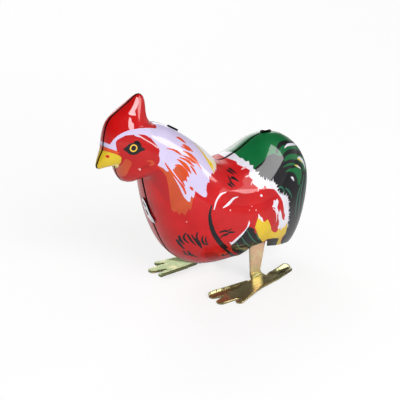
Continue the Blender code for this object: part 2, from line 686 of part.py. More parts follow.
def add_winding_set(flange_x):
    winder = add_pivot("winding_pivot", WIND_AXIS)
    socket_x = flange_x - 0.25
    end_x, shoulder_x = PLATE_OUTER_X + 0.5, PLATE_INNER_X - 0.1
    arbor_profile = (
        (end_x, 0.0), (end_x, ARBOR_JOURNAL), (shoulder_x, ARBOR_JOURNAL), (shoulder_x, ARBOR_RADIUS),
        (-shoulder_x, ARBOR_RADIUS), (-shoulder_x, ARBOR_JOURNAL), (socket_x + 0.6, ARBOR_JOURNAL),
        (socket_x + 0.6, KEY_END_RADIUS), (socket_x - KEY_END_LENGTH, KEY_END_RADIUS),
        (socket_x - KEY_END_LENGTH, 0.0),
    )
    add_part("winding_arbor", turned(WIND_AXIS, arbor_profile), "steel", WIND_AXIS, winder)
    outline = toothed_disc(WIND_AXIS, RATCHET_TEETH, RATCHET_ROOT, RATCHET_TIP, 1.0)
    ratchet = plate(outline, *CLICK_LAYER, [circle(WIND_AXIS, ARBOR_RADIUS + FIT)])
    add_part("ratchet_wheel", ratchet, "steel", WIND_AXIS, winder)
    add_key(winder, socket_x)


def add_key(parent, socket_x):
    """A pressed butterfly key: two pierced wings on a socket that fits the arbor's end."""
    y, z = WIND_AXIS
    wing_x = KEY_OUTER_X + KEY_WING_RADIUS
    bore_end_x = socket_x - KEY_END_LENGTH - 0.1
    outline = arc((KEY_WING_REACH, wing_x), KEY_WING_RADIUS, -130, 150, 12)
    outline += arc((-KEY_WING_REACH, wing_x), KEY_WING_RADIUS, 30, 310, 12)
    holes = [circle((side * KEY_WING_REACH, wing_x), KEY_WING_HOLE, 14) for side in (1, -1)]
    corners, triangles = triangulate(outline, loops=holes)
    for hole in holes:
        triangles = without(corners, triangles, hole)
    offsets = (-KEY_WEB / 2, KEY_WEB / 2)
    near, far = ([(x, y + offset, z + reach) for reach, x in corners] for offset in offsets)
    key = add_part("winding_key", closed_mesh(near, far, triangles), "nickel", WIND_AXIS, parent)
    nose_x = socket_x - KEY_SOCKET_LENGTH
    profile = (
        (socket_x, KEY_END_RADIUS + FIT), (socket_x, KEY_SOCKET_RADIUS),
        (nose_x + KEY_SOCKET_CHAMFER, KEY_SOCKET_RADIUS), (nose_x, KEY_SOCKET_NOSE), (nose_x, 0.0),
        (bore_end_x, 0.0), (bore_end_x, KEY_END_RADIUS + FIT),
    )
    socket = add_part("key_socket", turned(WIND_AXIS, profile), "nickel", WIND_AXIS, parent)
    return joined(key, socket)


def add_key_eyelet(flange_x):
    """The eyelet that lines the key hole, with its flange on the outside of the right body half."""
    back, end = flange_x + EYELET_SHEET, flange_x + EYELET_LENGTH
    profile = (
        (flange_x, EYELET_BORE), (back, EYELET_BORE), (end, EYELET_BORE), (end, EYELET_BARREL),
        (back, EYELET_BARREL), (back, EYELET_FLANGE), (flange_x + 0.1, EYELET_FLANGE),
        (flange_x, EYELET_FLANGE - 0.3),
    )
    add_part("key_eyelet", turned(WIND_AXIS, profile), "brass")


def add_spring():
    outline = spiral_strip(WIND_AXIS, SPRING_INNER, SPRING_OUTER, SPRING_TURNS, SPRING_STRIP, 0.0)
    add_part("mainspring", plate(outline, *SPRING_LAYER), "blued steel")


def add_train():
    great = add_pivot("great_pivot", WIND_AXIS)
    rivet = polar(WIND_AXIS, CLICK_REACH, CLICK_ANGLE)
    holes = [circle(WIND_AXIS, ARBOR_RADIUS + FIT), circle(rivet, CLICK_RIVET + FIT, 12)]
    angles = [CLICK_ANGLE + math.radians(60 * k) for k in range(1, 6)]
    windows = [window(WIND_AXIS, *GREAT_WINDOWS, angle, GREAT_WINDOW_SPAN) for angle in angles]
    outline = gear_outline(WIND_AXIS, GREAT_TEETH, GREAT_MODULE, SECOND_DIRECTION, 2)
    add_part("great_wheel", plate(outline, *GREAT_LAYER, holes + windows), "brass", WIND_AXIS, great)
    add_click(great, rivet)

    second = add_pivot("second_pivot", SECOND_AXIS)
    bore = circle(SECOND_AXIS, ARBOR_SLIM + FIT, 16)
    add_part("second_arbor", slim_arbor(SECOND_AXIS), "steel", SECOND_AXIS, second)
    meshing = SECOND_DIRECTION + math.pi + math.pi / SECOND_PINION_TEETH
    outline = gear_outline(SECOND_AXIS, SECOND_PINION_TEETH, GREAT_MODULE, meshing, 3)
    add_part("second_pinion", plate(outline, *SECOND_PINION_LAYER, [bore]), "steel", SECOND_AXIS, second)
    angles = [math.radians(72 * k) for k in range(5)]
    windows = [window(SECOND_AXIS, *SECOND_WINDOWS, angle, SECOND_WINDOW_SPAN) for angle in angles]
    outline = gear_outline(SECOND_AXIS, SECOND_TEETH, SECOND_MODULE, STAR_DIRECTION, 2)
    wheel = plate(outline, *SECOND_WHEEL_LAYER, [bore] + windows)
    add_part("second_wheel", wheel, "brass", SECOND_AXIS, second)

    star = add_pivot("star_pivot", STAR_AXIS)
    bore = circle(STAR_AXIS, ARBOR_SLIM + FIT, 16)
    add_part("star_arbor", slim_arbor(STAR_AXIS), "steel", STAR_AXIS, star)
    meshing = STAR_DIRECTION + math.pi + math.pi / STAR_PINION_TEETH
    outline = gear_outline(STAR_AXIS, STAR_PINION_TEETH, SECOND_MODULE, meshing, 3)
    add_part("star_pinion", plate(outline, *STAR_PINION_LAYER, [bore]), "steel", STAR_AXIS, star)
    outline = toothed_disc(STAR_AXIS, STAR_TEETH, STAR_ROOT, STAR_TIP, 0.0)
    add_part("star_wheel", plate(outline, *ROCKER_LAYER, [bore]), "brass", STAR_AXIS, star)


def polar(axis, radius, angle):
    return (axis[0] + radius * math.cos(angle), axis[1] + radius * math.sin(angle))


def window(axis, inner, outer, angle, span):
    """A wheel's crossing-out: part of a ring, round an angle, with its span in degrees."""
    start, end = math.degrees(angle) - span / 2, math.degrees(angle) + span / 2
    return arc(axis, inner, start, end, 3) + arc(axis, outer, end, start, 5)


def slim_arbor(axis):
    """A train arbor: a shoulder between the plates and a pivot through each."""
    half = ((PLATE_OUTER_X + 0.3, 0.0), (PLATE_OUTER_X + 0.3, PIVOT_RADIUS),
            (PLATE_INNER_X - 0.1, PIVOT_RADIUS), (PLATE_INNER_X - 0.1, ARBOR_SLIM))
    profile = [(-x, r) for x, r in half] + [(x, r) for x, r in reversed(half)]
    return turned(axis, profile, 16)


def add_click(great, rivet):
    """The click that holds the ratchet wheel, its rivet and its leaf spring, all on the great wheel."""
    low, high = CLICK_LAYER
    shank = ((low - 0.45, 0.0), (low - 0.45, 0.8), (low - RIVET_GAP, 1.0), (low - RIVET_GAP, CLICK_RIVET),
             (GREAT_LAYER[1] + RIVET_GAP, CLICK_RIVET), (GREAT_LAYER[1] + RIVET_GAP, 0.8),
             (GREAT_LAYER[1] + 0.4, 0.7), (GREAT_LAYER[1] + 0.4, 0.0))
    add_part("click_rivet", turned(rivet, shank, 12), "steel", WIND_AXIS, great)

    nose = polar(WIND_AXIS, RATCHET_TIP + 0.14, CLICK_ANGLE + math.radians(38))
    heel = polar(WIND_AXIS, RATCHET_TIP + 1.3, CLICK_ANGLE + math.radians(40))
    facing = math.degrees(math.atan2(nose[1] - rivet[1], nose[0] - rivet[0]))
    outline = arc(rivet, 1.1, facing + 80, facing + 280, 9) + [heel, nose]
    click = plate(outline, *CLICK_LAYER, [circle(rivet, CLICK_RIVET + FIT, 12)])
    lifter = add_pivot("click_pivot", rivet, great)
    add_part("click", click, "steel", rivet, lifter)

    bends = ((7.2, -34), (7.9, -14), (7.6, 6), (6.3, 22))
    path = [polar(WIND_AXIS, radius, CLICK_ANGLE + math.radians(turn)) for radius, turn in bends]
    inner = np.array(curve_through(path, 1.0) + [np.array(path[-1])])
    along = np.gradient(inner, axis=0)
    across = np.column_stack([along[:, 1], -along[:, 0]]) / np.linalg.norm(along, axis=1)[:, None]
    strip = list(inner) + list((inner + CLICK_SPRING_STRIP * across)[::-1])
    add_part("click_spring", plate(strip, low + 0.1, high + RIVET_GAP * 4), "blued steel", WIND_AXIS, great)


def add_rocker(legs):
    """The fork on the leg axle whose prongs the star wheel's points push to and fro."""
    up = np.array(STAR_AXIS) - np.array(LEG_AXIS)
    distance = float(np.linalg.norm(up))
    up /= distance
    across = np.array([up[1], -up[0]])
    sway = distance * math.sin(LEG_SWING)
    gap = STAR_TIP + sway + 0.2
    right_side = [(2.0, 0.0), (gap + 1.3, distance - 2.2), (gap + 1.3, distance + 1.4), (gap, distance + 1.4),
                  (gap, distance - 1.0), (2.4, 1.7)]
    hub = arc((0.0, 0.0), 2.0, 200, 340, 7)
    local = hub + right_side + [(-a, u) for a, u in reversed(right_side)]
    outline = [tuple(np.array(LEG_AXIS) + across * a + up * u) for a, u in local]
    fork = plate(outline, *ROCKER_LAYER, [circle(LEG_AXIS, LEG_AXLE_RADIUS + FIT)])
    add_part("rocker", fork, "steel", LEG_AXIS, legs)


def clear_scene():
    for made in list(bpy.data.objects):
        bpy.data.objects.remove(made)


clear_scene()
LOOKS = {
    "printed tinplate": material("printed_tinplate", (0.62, 0.03, 0.03), 0.25, 0.1),
    "yellow zinc": material("yellow_zinc", (0.72, 0.60, 0.36), 0.25, 1.0),
    "steel": material("steel", (0.55, 0.55, 0.56), 0.35, 1.0),
    "zinc steel": material("zinc_steel", (0.66, 0.67, 0.69), 0.4, 1.0),
    "blued steel": material("blued_steel", (0.12, 0.15, 0.24), 0.3, 1.0),
    "brass": material("brass", (0.78, 0.58, 0.24), 0.3, 1.0),
    "nickel": material("nickel", (0.72, 0.71, 0.68), 0.2, 1.0),
}
REACH_AT = add_body()
LEG_PIVOT = add_legs()
add_rocker(LEG_PIVOT)
add_frame(REACH_AT)
FLANGE_X = -(REACH_AT(WIND_AXIS) + SHEET + EYELET_RISE)
add_key_eyelet(FLANGE_X)
add_winding_set(FLANGE_X)
add_spring()
add_train()
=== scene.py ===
"""The finished look of a wind-up tin rooster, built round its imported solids.

The bird faces -Y and its left side is +X. Lengths are in millimetres, side-view points are (y, z), and
add_piece scales each mesh to metres. The stage, the lights and the camera are in metres from the start.
"""

import math

import bpy
import numpy as np
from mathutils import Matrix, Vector, geometry
from mathutils.bvhtree import BVHTree


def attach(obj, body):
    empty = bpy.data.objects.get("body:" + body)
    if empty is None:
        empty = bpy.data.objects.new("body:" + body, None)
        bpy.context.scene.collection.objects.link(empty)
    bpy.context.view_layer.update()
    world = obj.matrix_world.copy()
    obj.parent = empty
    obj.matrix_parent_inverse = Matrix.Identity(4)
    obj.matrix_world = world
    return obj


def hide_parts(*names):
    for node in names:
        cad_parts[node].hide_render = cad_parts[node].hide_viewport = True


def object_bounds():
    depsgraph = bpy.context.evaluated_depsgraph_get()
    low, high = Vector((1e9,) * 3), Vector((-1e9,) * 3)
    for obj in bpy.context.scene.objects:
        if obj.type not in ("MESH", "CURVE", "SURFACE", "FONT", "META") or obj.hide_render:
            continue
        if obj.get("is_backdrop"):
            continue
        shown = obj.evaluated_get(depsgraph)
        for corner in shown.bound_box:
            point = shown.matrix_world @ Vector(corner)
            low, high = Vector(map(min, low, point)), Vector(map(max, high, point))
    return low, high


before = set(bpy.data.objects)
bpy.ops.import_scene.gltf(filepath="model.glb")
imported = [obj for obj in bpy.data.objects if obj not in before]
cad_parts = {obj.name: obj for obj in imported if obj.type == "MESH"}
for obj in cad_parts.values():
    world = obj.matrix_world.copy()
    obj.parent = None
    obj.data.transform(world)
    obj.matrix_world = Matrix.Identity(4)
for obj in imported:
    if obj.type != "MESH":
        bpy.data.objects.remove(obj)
CAD_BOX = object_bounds()

MM = 0.001

# Triangulation: twice the area under which a triangle is left out, and how near corners have to be to merge
FLAT_TURN, WELD = 1e-9, 1e-5

# Tinplate halves
SHEET = 0.35
SEAM_HALF_GAP = 0.1
FILM_STEP, FILM_PRECISION = 1.6, 1e-16
OUTLINE_STEP = 0.8
SHELL_STEP = 1.25
ART_STEP = 0.45
RIM_RINGS = (0.12, 0.4, 0.8, 1.4)
# How much of its depth a ring's point keeps from the rim, and of its step the grid keeps from the last ring
RING_SPARE, GRID_SPARE = 0.85, 0.45
WING_RISE = 0.2
WING_RAMP = 2.2
WING_STEP = 1.0
RIM_REACH = 0.02
WIND_AXIS = (1.0, 28.0)
KEY_HOLE_RADIUS = 3.0

# The seam's black line, the print's dark edge with painted shadow in the seam: its width over the back and
# the breast, the heights it changes at, and its soft edges
SEAM_LINE, BREAST_LINE = 0.5, 0.75
LINE_CHANGE = (48.0, 50.0)
LINE_BLUR, LEFT_EDGE_BLUR = 0.08, 0.02

# The flange inside the seam, and the tabs folded over it
FLANGE_DEPTHS, FLANGE_HALF_WIDTH = (0.42, 0.64), 0.8
TAB_SHEET = 0.3
TAB_FALL = 18.0
TAB_PATH_STEP, TAB_RUN_IN = 0.2, 3
TAB_STEP, SLIT_STEP, TAB_GRID = 0.3, 0.2, (0.35, 0.15)
TAB_CREASE = 40

# Legs: one sheet-metal strap with its foot
LEG_AXIS = (17.0, 21.5)
LEG_SHEET = 0.8
LEG_BEND_RADIUS = 0.7
LEG_EDGE = 0.28
RIGHT_TOES_LEAD = 3.0
LEG_STEP = 0.55
STRAP_OUTER_X = 11.2
FOOT_ARCH = 0.8
FOOT_ARCH_RUN = 6.0
LEG_BOSS_RADIUS = 3.8
AXLE_HOLE = 1.3
BEND_START = STRAP_OUTER_X + LEG_BEND_RADIUS
BEND_LENGTH = (LEG_BEND_RADIUS + LEG_SHEET / 2) * math.pi / 2
BEND_SPAN, BEND_LINES = (11.0, 18.5), 9
LEG_RINGS, LEG_RING_SPARE = (0.3, 1.0), 0.8
LEG_GRID_GAP, HOLE_GAP = 0.35, 0.3
ANKLE_FRONT, TOES_DIRECTION = (12.0, 12.1), (-0.53, -0.848)
ANKLE_REAR, HEEL_DIRECTION = (12.0, 16.9), (0.6, 0.8)

# The bird's outline in the seam plane, as strokes between its corners, clockwise from the beak's tip
OUTLINE_STROKES = (
    ((-46.5, 55.7), (-45.3, 58.2), (-43.7, 60.9)),
    (
        (-43.7, 60.9), (-43.3, 64.4), (-42.3, 68.2), (-40.6, 70.8), (-37.4, 72.8), (-33.4, 74.9),
        (-29.4, 77.1), (-27.0, 76.0), (-26.5, 72.8), (-26.6, 69.4), (-24.8, 66.4),
    ),
    (
        (-24.8, 66.4), (-20.0, 64.8), (-12.0, 60.0), (-3.0, 52.8), (1.4, 48.4), (6.6, 45.5),
        (14.5, 47.3), (24.5, 51.1), (34.0, 49.6), (41.8, 43.6), (46.2, 35.0), (45.8, 26.6),
        (43.2, 17.0), (40.9, 10.4), (37.8, 5.6), (31.0, 3.8), (20.0, 5.8), (8.0, 8.2), (0.0, 8.3),
        (-8.0, 10.0), (-15.4, 15.0), (-20.4, 22.0), (-24.6, 32.6), (-27.2, 43.0), (-28.1, 47.9),
    ),
    ((-28.1, 47.9), (-30.8, 47.4), (-33.4, 46.9), (-36.3, 47.9), (-38.2, 50.4), (-39.4, 54.2)),
    ((-39.4, 54.2), (-42.5, 54.4), (-45.4, 54.2)),
    ((-45.4, 54.2), (-46.3, 54.7), (-46.5, 55.7)),
)
WING_OUTLINE = (
    (-9.6, 37.0), (-10.2, 30.5), (-7.4, 23.4), (-1.8, 17.2), (5.0, 14.2), (13.0, 16.6),
    (20.0, 21.0), (26.0, 28.0), (22.0, 35.0), (10.0, 40.0), (-4.0, 41.5),
)
LEG_OPENING = (
    (8.8, 2.0), (9.0, 12.6), (10.6, 15.2), (17.8, 15.6), (19.6, 12.2), (24.4, 10.6), (34.6, 7.8), (42.0, 8.6),
    (42.0, 2.0),
)
# How far the sheet bulges sideways near each place of the side view, against a soap film over the outline
BULGE = (
    ((-42.0, 57.0), 4.0, 0.52),
    ((-33.0, 71.5), 5.0, 0.50),
    ((-31.0, 58.0), 6.0, 0.55),
    ((-18.0, 50.0), 8.0, 0.60),
    ((-15.0, 30.0), 10.0, 0.70),
    ((2.0, 27.0), 12.0, 0.655),
    ((12.0, 37.0), 8.0, 0.59),
    ((15.0, 49.5), 2.5, 0.30),
    ((24.0, 44.0), 7.0, 0.56),
    ((38.0, 32.0), 8.0, 0.52),
    ((34.0, 16.0), 7.0, 0.56),
    ((20.0, 20.0), 8.0, 0.62),
)


# ---------------------------------------------------------------- curves and flat shapes


def catmull_rom(before, start, end, after, step):
    """Points from start up to end on the smooth curve through all four, about a step apart."""
    count = max(1, round(float(np.linalg.norm(end - start)) / step))
    for t in np.arange(count) / count:
        cubic = (3 * start - 3 * end + after - before) * t**3
        square = (2 * before - 5 * start + 4 * end - after) * t**2
        yield 0.5 * (2 * start + (end - before) * t + square + cubic)


def curve_through(points, step):
    """A smooth open curve through the points, without its last point."""
    points = [np.array(p, float) for p in points]
    padded = [2 * points[0] - points[1], *points, 2 * points[-1] - points[-2]]
    spans = zip(padded, padded[1:], padded[2:], padded[3:])
    return [sample for span in spans for sample in catmull_rom(*span, step)]


def closed_curve(points, step):
    """A smooth closed curve through the points."""
    padded = [np.array(p, float) for p in (points[-1], *points, points[0], points[1])]
    spans = zip(padded, padded[1:], padded[2:], padded[3:])
    return np.array([sample for span in spans for sample in catmull_rom(*span, step)])


def circle(centre, radius, segments=24):
    """Points round a circle."""
    angles = 2 * math.pi * np.arange(segments) / segments
    return np.column_stack([centre[0] + radius * np.cos(angles), centre[1] + radius * np.sin(angles)])


def inside(points, polygon):
    """Which of the points lie inside the polygon."""
    points = np.atleast_2d(points)
    crossings = np.zeros(len(points), int)
    for (ax, ay), (bx, by) in zip(polygon, np.roll(polygon, -1, axis=0)):
        spans = (ay > points[:, 1]) != (by > points[:, 1])
        slope = (bx - ax) / (by - ay) if by != ay else 0.0
        crossings += spans & (points[:, 0] < ax + (points[:, 1] - ay) * slope)
    return crossings % 2 == 1


def distance_to(points, polygon):
    """Each point's distance to the closed polygon's edges."""
    nearest = np.full(len(points), np.inf)
    for a, b in zip(polygon, np.roll(polygon, -1, axis=0)):
        along = np.clip(((points - a) @ (b - a)) / max(float((b - a) @ (b - a)), 1e-12), 0, 1)
        nearest = np.minimum(nearest, np.linalg.norm(points - a - along[:, None] * (b - a), axis=1))
    return nearest


def triangulate(outline, loops=(), lines=(), extra=()):
    """Triangles that fill the outline, with edges along the loops and lines, and corners at the extras."""
    points = [Vector(p) for p in outline]
    edges = [(i, (i + 1) % len(outline)) for i in range(len(outline))]
    for path, is_closed in [(loop, True) for loop in loops] + [(line, False) for line in lines]:
        first = len(points)
        points += [Vector(p) for p in path]
        count = len(path) if is_closed else len(path) - 1
        edges += [(first + i, first + (i + 1) % len(path)) for i in range(count)]
    points += [Vector(p) for p in extra]
    found = geometry.delaunay_2d_cdt(points, edges, [list(range(len(outline)))], 1, WELD)
    corners = np.array([(v.x, v.y) for v in found[0]])
    triangles = np.array([face for face in found[2] if len(face) == 3])
    triangles = triangles[inside(corners[triangles].mean(axis=1), np.array(outline, float))]
    a, b, c = corners[triangles].transpose(1, 0, 2)
    turn = (b[:, 0] - a[:, 0]) * (c[:, 1] - a[:, 1]) - (b[:, 1] - a[:, 1]) * (c[:, 0] - a[:, 0])
    triangles[turn < 0] = triangles[turn < 0][:, ::-1]
    return used_only(corners, triangles[np.abs(turn) > FLAT_TURN])


def used_only(corners, triangles):
    """The mesh without the corners that no triangle uses."""
    used, index = np.unique(triangles, return_inverse=True)
    return corners[used], index.reshape(-1, 3)


def border_edges(triangles):
    """The directed edges that belong to one triangle only."""
    directed = np.concatenate([triangles[:, [0, 1]], triangles[:, [1, 2]], triangles[:, [2, 0]]])
    known = set(map(tuple, directed))
    return np.array([(a, b) for a, b in directed if (b, a) not in known])


def cut_out(corners, triangles, regions):
    """The mesh without the triangles inside the regions, and without the corners left over."""
    for region in regions:
        triangles = triangles[~inside(corners[triangles].mean(axis=1), np.array(region, float))]
    return used_only(corners, triangles)


def left_of(ahead):
    """Unit steps a quarter turn to the left of the given ones."""
    return np.column_stack([-ahead[:, 1], ahead[:, 0]]) / np.linalg.norm(ahead, axis=1)[:, None]


def steps_round(path):
    """The step at each point of a closed path, from the point before it to the point after it."""
    return np.roll(path, -1, axis=0) - np.roll(path, 1, axis=0)


def lengths_along(path):
    """How far along the path each of its points lies."""
    return np.concatenate([[0], np.cumsum(np.linalg.norm(np.diff(path, axis=0), axis=1))])


def ramp(value):
    """Rises smoothly from 0 to 1 as the value does."""
    value = np.clip(value, 0, 1)
    return value * value * (3 - 2 * value)


# ---------------------------------------------------------------- the bulge of the tinplate


def body_outline(step):
    """The bird's outline in the seam plane, as points about a step apart."""
    return np.array([point for stroke in OUTLINE_STROKES for point in curve_through(stroke, step)])


def rim_rings(outline, step):
    """Rings of points along the inside of the outline, closer together where the sheet turns over."""
    dense = body_outline(step)
    inward = -left_of(steps_round(dense))
    rings = []
    for depth in RIM_RINGS:
        moved = dense + inward * depth
        rings.append(moved[inside(moved, outline) & (distance_to(moved, outline) > depth * RING_SPARE)])
    return np.concatenate(rings)


def even_grid(outline, step, clearance):
    """A triangular grid of points inside the outline, clear of its rim."""
    low, high = outline.min(axis=0), outline.max(axis=0)
    rows = np.arange(low[1], high[1], step * math.sqrt(0.75))
    grid = [
        (y + (index % 2) * step / 2, z)
        for index, z in enumerate(rows)
        for y in np.arange(low[0], high[0], step)
    ]
    grid = np.array(grid)
    return grid[inside(grid, outline) & (distance_to(grid, outline) > clearance)]


def bulge_factor(points):
    """The sideways bulge of the sheet at each point, blended between the places in BULGE."""
    total = np.zeros(len(points))
    weight = np.full(len(points), 1e-9)
    for spot, reach, factor in BULGE:
        near = np.exp(-(np.linalg.norm(points - np.array(spot), axis=1) / reach) ** 2 / 2) + 1e-6
        total += near * factor
        weight += near
    return total / weight


def soap_film(corners, triangles, border):
    """The height of a film blown up over the side view and held down along its border."""
    a, b, c = corners[triangles].transpose(1, 0, 2)
    sides = np.stack([c - b, a - c, b - a], axis=1)
    area = 0.5 * np.abs(sides[:, 0, 0] * sides[:, 1, 1] - sides[:, 0, 1] * sides[:, 1, 0])
    count = len(corners)
    rows, columns, shares = [], [], []
    load = np.zeros(count)
    for i in range(3):
        load += np.bincount(triangles[:, i], area / 3, count)
        for j in range(3):
            rows.append(triangles[:, i])
            columns.append(triangles[:, j])
            shares.append((sides[:, i] * sides[:, j]).sum(axis=1) / (4 * area))
    rows, columns, shares = np.concatenate(rows), np.concatenate(columns), np.concatenate(shares)
    free = np.ones(count)
    free[border] = 0
    film = np.zeros(count)
    residual = load * free
    towards = residual.copy()
    size = residual @ residual
    limit = size * FILM_PRECISION
    while size > limit:
        pull = np.bincount(rows, shares * towards[columns], count) * free
        step = size / (towards @ pull)
        film += step * towards
        residual -= step * pull
        before, size = size, residual @ residual
        towards = residual + size / before * towards
    return film


def slopes(corners, triangles, values):
    """The gradient of the values at each corner, averaged over the triangles around it."""
    a, b, c = corners[triangles].transpose(1, 0, 2)
    double = (b[:, 0] - a[:, 0]) * (c[:, 1] - a[:, 1]) - (b[:, 1] - a[:, 1]) * (c[:, 0] - a[:, 0])
    gradient = np.zeros((len(triangles), 2))
    for here, (p, q) in zip(range(3), ((b, c), (c, a), (a, b))):
        across = np.column_stack([p[:, 1] - q[:, 1], q[:, 0] - p[:, 0]])
        gradient += values[triangles[:, here], None] * across / double[:, None]
    total = np.zeros((len(corners), 2))
    weight = np.zeros(len(corners))
    for here in range(3):
        np.add.at(total, triangles[:, here], gradient * double[:, None])
        np.add.at(weight, triangles[:, here], double)
    return total / np.maximum(weight, 1e-12)[:, None]


class Bulge:
    """The pressed shape of the left half: how far it stands off the seam, and the way it faces."""

    def __init__(self):
        outline = body_outline(FILM_STEP)
        grid = even_grid(outline, FILM_STEP, RIM_RINGS[-1] + FILM_STEP * GRID_SPARE)
        extra = [rim_rings(outline, FILM_STEP), grid]
        corners, triangles = triangulate(outline, extra=np.concatenate(extra))
        border = np.unique(border_edges(triangles))
        film = soap_film(corners, triangles, border)
        square = 4 * bulge_factor(corners) ** 2 * film
        self.corners, self.triangles, self.square = corners, triangles, square
        self.slope = slopes(corners, triangles, square)
        flat = [(y, z, 0.0) for y, z in corners]
        self.tree = BVHTree.FromPolygons(flat, triangles.tolist())
        self.wing = closed_curve(WING_OUTLINE, WING_STEP)
        self.rim = body_outline(OUTLINE_STEP)

    def wing_rise(self, points):
        return WING_RISE * ramp(distance_to(points, self.wing) * inside(points, self.wing) / WING_RAMP)

    def at(self, points):
        """The half width at each point and its gradient times itself, read off the film's triangles."""
        square, slope = np.zeros(len(points)), np.zeros((len(points), 2))
        for index, (y, z) in enumerate(points):
            spot, _, face, _ = self.tree.find_nearest((y, z, 0.0))
            a, b, c = self.corners[self.triangles[face]]
            p = np.array(spot[:2])
            whole = (b[0] - a[0]) * (c[1] - a[1]) - (b[1] - a[1]) * (c[0] - a[0])
            v = ((p[0] - a[0]) * (c[1] - a[1]) - (p[1] - a[1]) * (c[0] - a[0])) / whole
            w = ((b[0] - a[0]) * (p[1] - a[1]) - (b[1] - a[1]) * (p[0] - a[0])) / whole
            shares = np.array([1 - v - w, v, w])
            square[index] = shares @ self.square[self.triangles[face]]
            slope[index] = shares @ self.slope[self.triangles[face]]
        return np.sqrt(np.maximum(square, 0)), slope / 2

    def surface(self, points):
        """Places and outward directions on the left half's outside, over points of the side view."""
        width, lean = self.at(points)
        width[distance_to(points, self.rim) < RIM_REACH] = 0.0
        rise = self.wing_rise(points)
        nudge = 0.05
        rise_slope = [
            (self.wing_rise(points + shift) - self.wing_rise(points - shift)) / (2 * nudge)
            for shift in (np.array([nudge, 0.0]), np.array([0.0, nudge]))
        ]
        facing = np.column_stack([width, -lean])
        facing[:, 1:] -= width[:, None] * np.column_stack(rise_slope)
        facing /= np.maximum(np.linalg.norm(facing, axis=1), 1e-9)[:, None]
        return np.column_stack([width + rise + SEAM_HALF_GAP, points]), facing


# ---------------------------------------------------------------- materials


def srgb(red, green, blue):
    """Linear colour from the usual 0 to 255 values."""
    shares = [value / 255 for value in (red, green, blue)]
    return tuple(s / 12.92 if s < 0.04045 else ((s + 0.055) / 1.055) ** 2.4 for s in shares)


class Nodes:
    """Short calls for building the node tree of a material, or of a world that is handed in."""

    def __init__(self, name, world=None):
        self.owner = world or bpy.data.materials.new(name)
        self.owner.use_nodes = True
        self.tree = self.owner.node_tree
        self.shader = self.tree.nodes["Background" if world else "Principled BSDF"]
        self.where = self.add("ShaderNodeTexCoord").outputs["Generated" if world else "Object"]

    def add(self, kind, **settings):
        node = self.tree.nodes.new(kind)
        for name, value in settings.items():
            setattr(node, name, value)
        return node

    def feed(self, node, name, value):
        if isinstance(value, bpy.types.NodeSocket):
            self.tree.links.new(value, node.inputs[name])
        elif isinstance(value, tuple) and len(value) == 3 and node.inputs[name].type == "RGBA":
            node.inputs[name].default_value = (*value, 1.0)
        else:
            node.inputs[name].default_value = value

    def scaled(self, stretch):
        """The object's coordinates, stretched along its axes."""
        node = self.add("ShaderNodeMapping")
        self.feed(node, "Vector", self.where)
        node.inputs["Scale"].default_value = stretch
        return node.outputs["Vector"]

    def noise(self, size, detail=2.0, stretch=(1, 1, 1)):
        """Smooth noise whose features are about a size in millimetres."""
        node = self.add("ShaderNodeTexNoise")
        self.feed(node, "Vector", self.scaled(stretch))
        self.feed(node, "Scale", 1 / (size * MM))
        self.feed(node, "Detail", detail)
        return node.outputs["Fac"]

    def between(self, value, low, high, to_low=0.0, to_high=1.0):
        node = self.add("ShaderNodeMapRange")
        names = ("Value", "From Min", "From Max", "To Min", "To Max")
        for name, number in zip(names, (value, low, high, to_low, to_high)):
            self.feed(node, name, number)
        return node.outputs["Result"]

    def mix(self, share, first, second):
        node = self.add("ShaderNodeMix", data_type="RGBA")
        self.feed(node, 0, share)
        self.feed(node, 6, first)
        self.feed(node, 7, second)
        return node.outputs[2]

    def combine(self, first, second, operation="ADD"):
        node = self.add("ShaderNodeMath", operation=operation)
        self.feed(node, 0, first)
        self.feed(node, 1, second)
        return node.outputs[0]

    def coordinate(self, axis):
        node = self.add("ShaderNodeSeparateXYZ")
        self.feed(node, 0, self.where)
        return node.outputs[axis]

    def bump(self, height, depth, strength=1.0):
        node = self.add("ShaderNodeBump")
        self.feed(node, "Height", height)
        self.feed(node, "Distance", depth * MM)
        self.feed(node, "Strength", strength)
        return node.outputs["Normal"]

    def finish(self, **inputs):
        for name, value in inputs.items():
            self.feed(self.shader, name.replace("_", " "), value)
        return self.owner


def printed_ink(name, colour, shade, coat):
    """Ink on tinplate under a clear lacquer, with a black line down the left half's edge at the seam, the
    print's dark edge with painted shadow.
    """
    made = Nodes(name)
    mottle = made.between(made.noise(size=7.0, detail=3.0), 0.3, 0.7)
    grain = made.between(made.noise(size=0.22, detail=1.0), 0.25, 0.75, *INK_GRAIN)
    along_x = made.coordinate("X")
    on_left = made.between(along_x, -LEFT_EDGE_BLUR * MM, 0.0)
    low, high = (height * MM for height in LINE_CHANGE)
    line = made.between(made.coordinate("Z"), low, high, BREAST_LINE * MM, SEAM_LINE * MM)
    past_line = made.between(made.combine(along_x, line, "SUBTRACT"), 0.0, LINE_BLUR * MM, 1.0, 0.0)
    on_line = made.combine(on_left, past_line, "MULTIPLY")
    ink = made.mix(on_line, made.mix(mottle, colour, shade), SEAM_EDGE_SHADOW_BLACK)
    tone = made.add("ShaderNodeMix", data_type="RGBA", blend_type="MULTIPLY")
    made.feed(tone, 0, 1.0)
    made.feed(tone, 6, ink)
    made.feed(tone, 7, grain)
    waves = made.bump(made.noise(size=9.0, detail=1.0), depth=0.05, strength=0.5)
    dust = made.between(made.noise(size=1.6, detail=5.0), 0.35, 0.75, *LACQUER_ROUGHNESS)
    return made.finish(
        Base_Color=tone.outputs[2], Roughness=INK_ROUGHNESS, Metallic=0.0,
        Specular_IOR_Level=made.between(on_line, 0, 1, INK_SHINE, 0.0),
        Coat_Weight=made.between(on_line, 0, 1, coat, 0.0),
        Coat_Roughness=dust, Coat_IOR=LACQUER_IOR, Coat_Normal=waves,
    )
